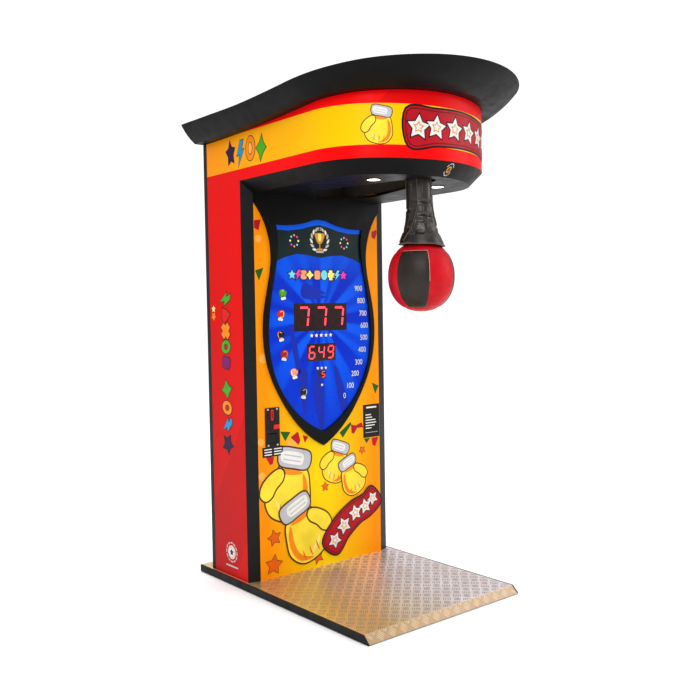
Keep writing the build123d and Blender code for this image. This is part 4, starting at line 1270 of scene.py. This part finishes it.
def press_back(sleeve):
    """The flat patch on the back, where the parked arm lies up against its bumper."""
    bumper_low, bumper_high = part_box("park_bumper")
    shaft_low, shaft_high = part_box("pivot_shaft")
    pivot_y, pivot_z = (shaft_low.y + shaft_high.y) / 2, (shaft_low.z + shaft_high.z) / 2
    margin = 4 * MM
    flat = bumper_low.z - pivot_z - 1.5 * MM
    patch_top = pivot_z - (bumper_low.y - pivot_y) + margin
    patch_foot = pivot_z - (bumper_high.y - pivot_y) - margin
    for vertex in sleeve.data.vertices:
        place = vertex.co
        beyond = max(patch_foot - place.z, place.z - patch_top, 0)
        beside = max(abs(place.x) - bumper_high.x - margin, 0)
        place.y = min(place.y, bag_y + flat + (beyond + beside) / 2)


def outward(place):
    """Level, away from the bag's upright axis."""
    return Vector((place.x, place.y - bag_y, 0)).normalized()


def sleeve_shape():
    """The sleeve as cut and sewn, a little crumpled, and how firmly its top and hem are held."""
    top, foot = sleeve_high.z, sleeve_low.z + 2 * MM
    shape = bmesh.new()
    pins = {}
    rings = []
    for row in range(sleeve_rows + 1):
        down = row / sleeve_rows
        z = top + (foot - top) * row / sleeve_rows
        hem = down ** 3
        lean = Vector((-0.77, 0.64, 0)) * (5.0 - 8.0 * row / sleeve_rows) * MM
        held = max(1 - row / 4, 1 - (sleeve_rows - row) / 12)
        ring = []
        for column in range(sleeve_columns):
            turn = 2 * pi * column / sleeve_columns
            if held > 0:
                pins[len(shape.verts)] = min(1.0, held)
            wave = hem * (1.0 * sin(2 * turn + 0.6) + 0.7 * sin(5 * turn)) * MM
            sag = hem * (-4.5 * cos(turn + radians(45)) - 1.0) * MM
            crumple = noise.noise(Vector((1.6 * cos(turn), 1.6 * sin(turn), z * 60))) * 1.3 * MM
            crumple *= sin(pi * row / sleeve_rows)
            reach = sleeve_reach(z) - 0.5 * MM + crumple + wave * 0.5
            ring.append(shape.verts.new(lean + round_bag(turn, reach, z + wave + sag)))
        rings.append(ring)
    for row in range(sleeve_rows):
        for column in range(sleeve_columns):
            after = (column + 1) % sleeve_columns
            shape.faces.new([rings[row][column], rings[row][after], rings[row + 1][after],
                             rings[row + 1][column]])
    return shape, pins


def trim_sleeve(points):
    """Welts down three seams and round both ends, with stitches beside the seams and the hem."""
    stitch_up, stitch_r = 0.2 * MM, 0.4 * MM

    def on_sleeve(turn, row):
        column = (turn / (2 * pi) * sleeve_columns) % sleeve_columns
        low = int(column)
        return points[row][low].lerp(points[row][(low + 1) % sleeve_columns], column - low)

    welts, threads = [], []
    for top_turn, foot_turn in ((54, 98), (-16, -84), (130, 130)):
        path = []
        for row in range(1, sleeve_rows - 1):
            turn = sleeve_seam(points[row][0].z, top_turn, foot_turn)
            place = on_sleeve(turn, row)
            path.append(place + outward(place) * welt_up)
            if row % 2:
                beside = on_sleeve(turn + radians(5.5), row)
                out = outward(beside)
                threads.append(stitch(beside + out * stitch_up, Vector((0, 0, 1)), out, 3.4 * MM, stitch_r))
        welts.append(tube(path, 1.7 * MM, 8))
    hem = [point + Vector((0, 0, -0.4 * MM)) for point in points[sleeve_rows]]
    welts.append(tube(hem, 2.6 * MM, 10, closed=True))
    neck = [point - outward(point) * 0.6 * MM for point in points[1]]
    welts.append(tube(neck, 2.0 * MM, 8, closed=True))
    stitched = points[sleeve_rows - 3]
    for column in range(sleeve_columns):
        here, after = stitched[column], stitched[(column + 1) % sleeve_columns]
        place = here.lerp(after, 0.5)
        out = outward(place)
        threads.append(stitch(place + out * stitch_up, (after - here).normalized(), out, 2.6 * MM, stitch_r))
    trim("sleeve_welts", welts, welt_leather_painted_highlight)
    trim("sleeve_stitches", threads, thread_dark)


def build_sleeve():
    """A sewn leather tube over the arm: crumpled by cloth between its top and its stiff hem."""
    shape, pins = sleeve_shape()
    sleeve = add_piece("bag_sleeve", from_bmesh("bag_sleeve", shape, radians(75)), "punching_bag",
                       [FINISHES["sleeve_leather"]])
    simulate(sleeve, pins, pressure=0.5, swell=0.016, gravity=0.3, frames=22, cap=2.5 * MM)
    press_creases(sleeve)
    press_back(sleeve)
    points = [[sleeve.data.vertices[row * sleeve_columns + column].co.copy()
               for column in range(sleeve_columns)] for row in range(sleeve_rows + 1)]
    keep_smooth(sleeve)
    wall = sleeve.modifiers.new("wall", "SOLIDIFY")
    wall.thickness = 3 * MM
    wall.offset = -1
    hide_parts("sleeve")
    trim_sleeve(points)


black_leather = leather("leather_black", srgb(56, 48, 42), srgb(40, 35, 31), 0.42)
# Paler than the sleeve's leather: a painted highlight along the seams and round both ends.
welt_leather_painted_highlight = leather("leather_welt_painted_highlight", srgb(112, 100, 90), srgb(78, 68, 60), 0.4)
piping_pale = mottled("piping_pale", srgb(236, 206, 196), srgb(214, 150, 140), 0.5, scale=60)
piping_red = mottled("piping_red", srgb(222, 84, 92), srgb(190, 40, 56), 0.5, scale=60)
thread_dark = mottled("thread_dark", srgb(74, 36, 34), srgb(50, 26, 26), 0.7, scale=200, grain=2000)
build_ball()
build_sleeve()


# ---------------------------------------------------------------- camera, floor and light
def build_camera():
    """The viewpoint: about three metres away, to the machine's left and in front."""
    eye = (-2.0272, -2.3593, 1.0364)
    camera = bpy.data.objects.new("camera", bpy.data.cameras.new("camera"))
    scene.collection.objects.link(camera)
    yaw, pitch, roll = 0.69352, -0.04772, -0.01517
    ahead = Vector((sin(yaw) * cos(pitch), cos(yaw) * cos(pitch), sin(pitch)))
    level = Vector((cos(yaw), -sin(yaw), 0))
    upward = level.cross(ahead)
    right = level * cos(roll) + upward * sin(roll)
    up = upward * cos(roll) - level * sin(roll)
    turn = Matrix((right, up, -ahead)).transposed().to_4x4()
    camera.matrix_world = Matrix.Translation(eye) @ turn
    camera.data.lens = 43.567
    camera.data.sensor_width = 36
    scene.camera = camera


def area_light(name, place, aim, size, power, tone=(1, 1, 1)):
    data = bpy.data.lights.new(name, "AREA")
    data.shape = "RECTANGLE"
    data.size, data.size_y = size
    data.energy = power
    data.color = tone
    light = bpy.data.objects.new(name, data)
    scene.collection.objects.link(light)
    towards = (Vector(aim) - Vector(place)).to_track_quat("-Z", "Y")
    light.matrix_world = Matrix.Translation(place) @ towards.to_matrix().to_4x4()
    return light


def build_floor():
    """A plain pale floor, wide enough to reach the horizon."""
    half = 14
    corners = ((-half, -half), (half, -half), (half, half), (-half, half))
    shape = bmesh.new()
    shape.faces.new([shape.verts.new((x, y, 0)) for x, y in corners])
    mesh = bpy.data.meshes.new("floor")
    shape.to_mesh(mesh)
    shape.free()
    floor = bpy.data.objects.new("floor", mesh)
    scene.collection.objects.link(floor)
    pale = mottled("floor_pale", srgb(252, 252, 252), srgb(249, 249, 249), 0.9, scale=2, depth=0)
    mesh.materials.append(pale)


def build_lights():
    """Three large soft lamps, a wide soft light from above and a warm glow inside the head."""
    area_light("key", (-3.2, -3.4, 3.6), (0, 0, 0.9), (2.6, 2.6), 75)
    area_light("fill", (3.4, -2.6, 2.4), (0, 0, 1.0), (2.6, 2.6), 38)
    area_light("back", (0.5, 3.6, 3.2), (0, 0.2, 1.0), (3.0, 2.0), 40)
    overhead = bpy.data.lights.new("overhead", "SUN")
    overhead.energy = 1.5
    overhead.angle = radians(70)
    scene.collection.objects.link(bpy.data.objects.new("overhead", overhead))
    glow_in_head = area_light("head_glow", (0, 0.02, 1.63), (0, -0.05, 1.3), (0.16, 0.3), 1.2,
                              (1.0, 0.72, 0.42))
    glow_in_head.visible_glossy = False


def build_backdrop():
    """A white surround, and how the picture is developed."""
    world = bpy.data.worlds.new("studio")
    scene.world = world
    world.use_nodes = True
    tree = world.node_tree
    background = tree.nodes["Background"]
    background.inputs["Color"].default_value = (1, 1, 1, 1)
    seen = tree.nodes.new("ShaderNodeLightPath")
    level = tree.nodes.new("ShaderNodeMapRange")      # white to the eye, dimmer as a light
    level.inputs["To Min"].default_value = 0.6
    level.inputs["To Max"].default_value = 1.0
    tree.links.new(seen.outputs["Is Camera Ray"], level.inputs["Value"])
    tree.links.new(level.outputs["Result"], background.inputs["Strength"])
    scene.view_settings.view_transform = "Standard"
    scene.view_settings.gamma = 0.86
    scene.view_settings.exposure = 0.1


build_camera()
build_floor()
build_lights()
build_backdrop()
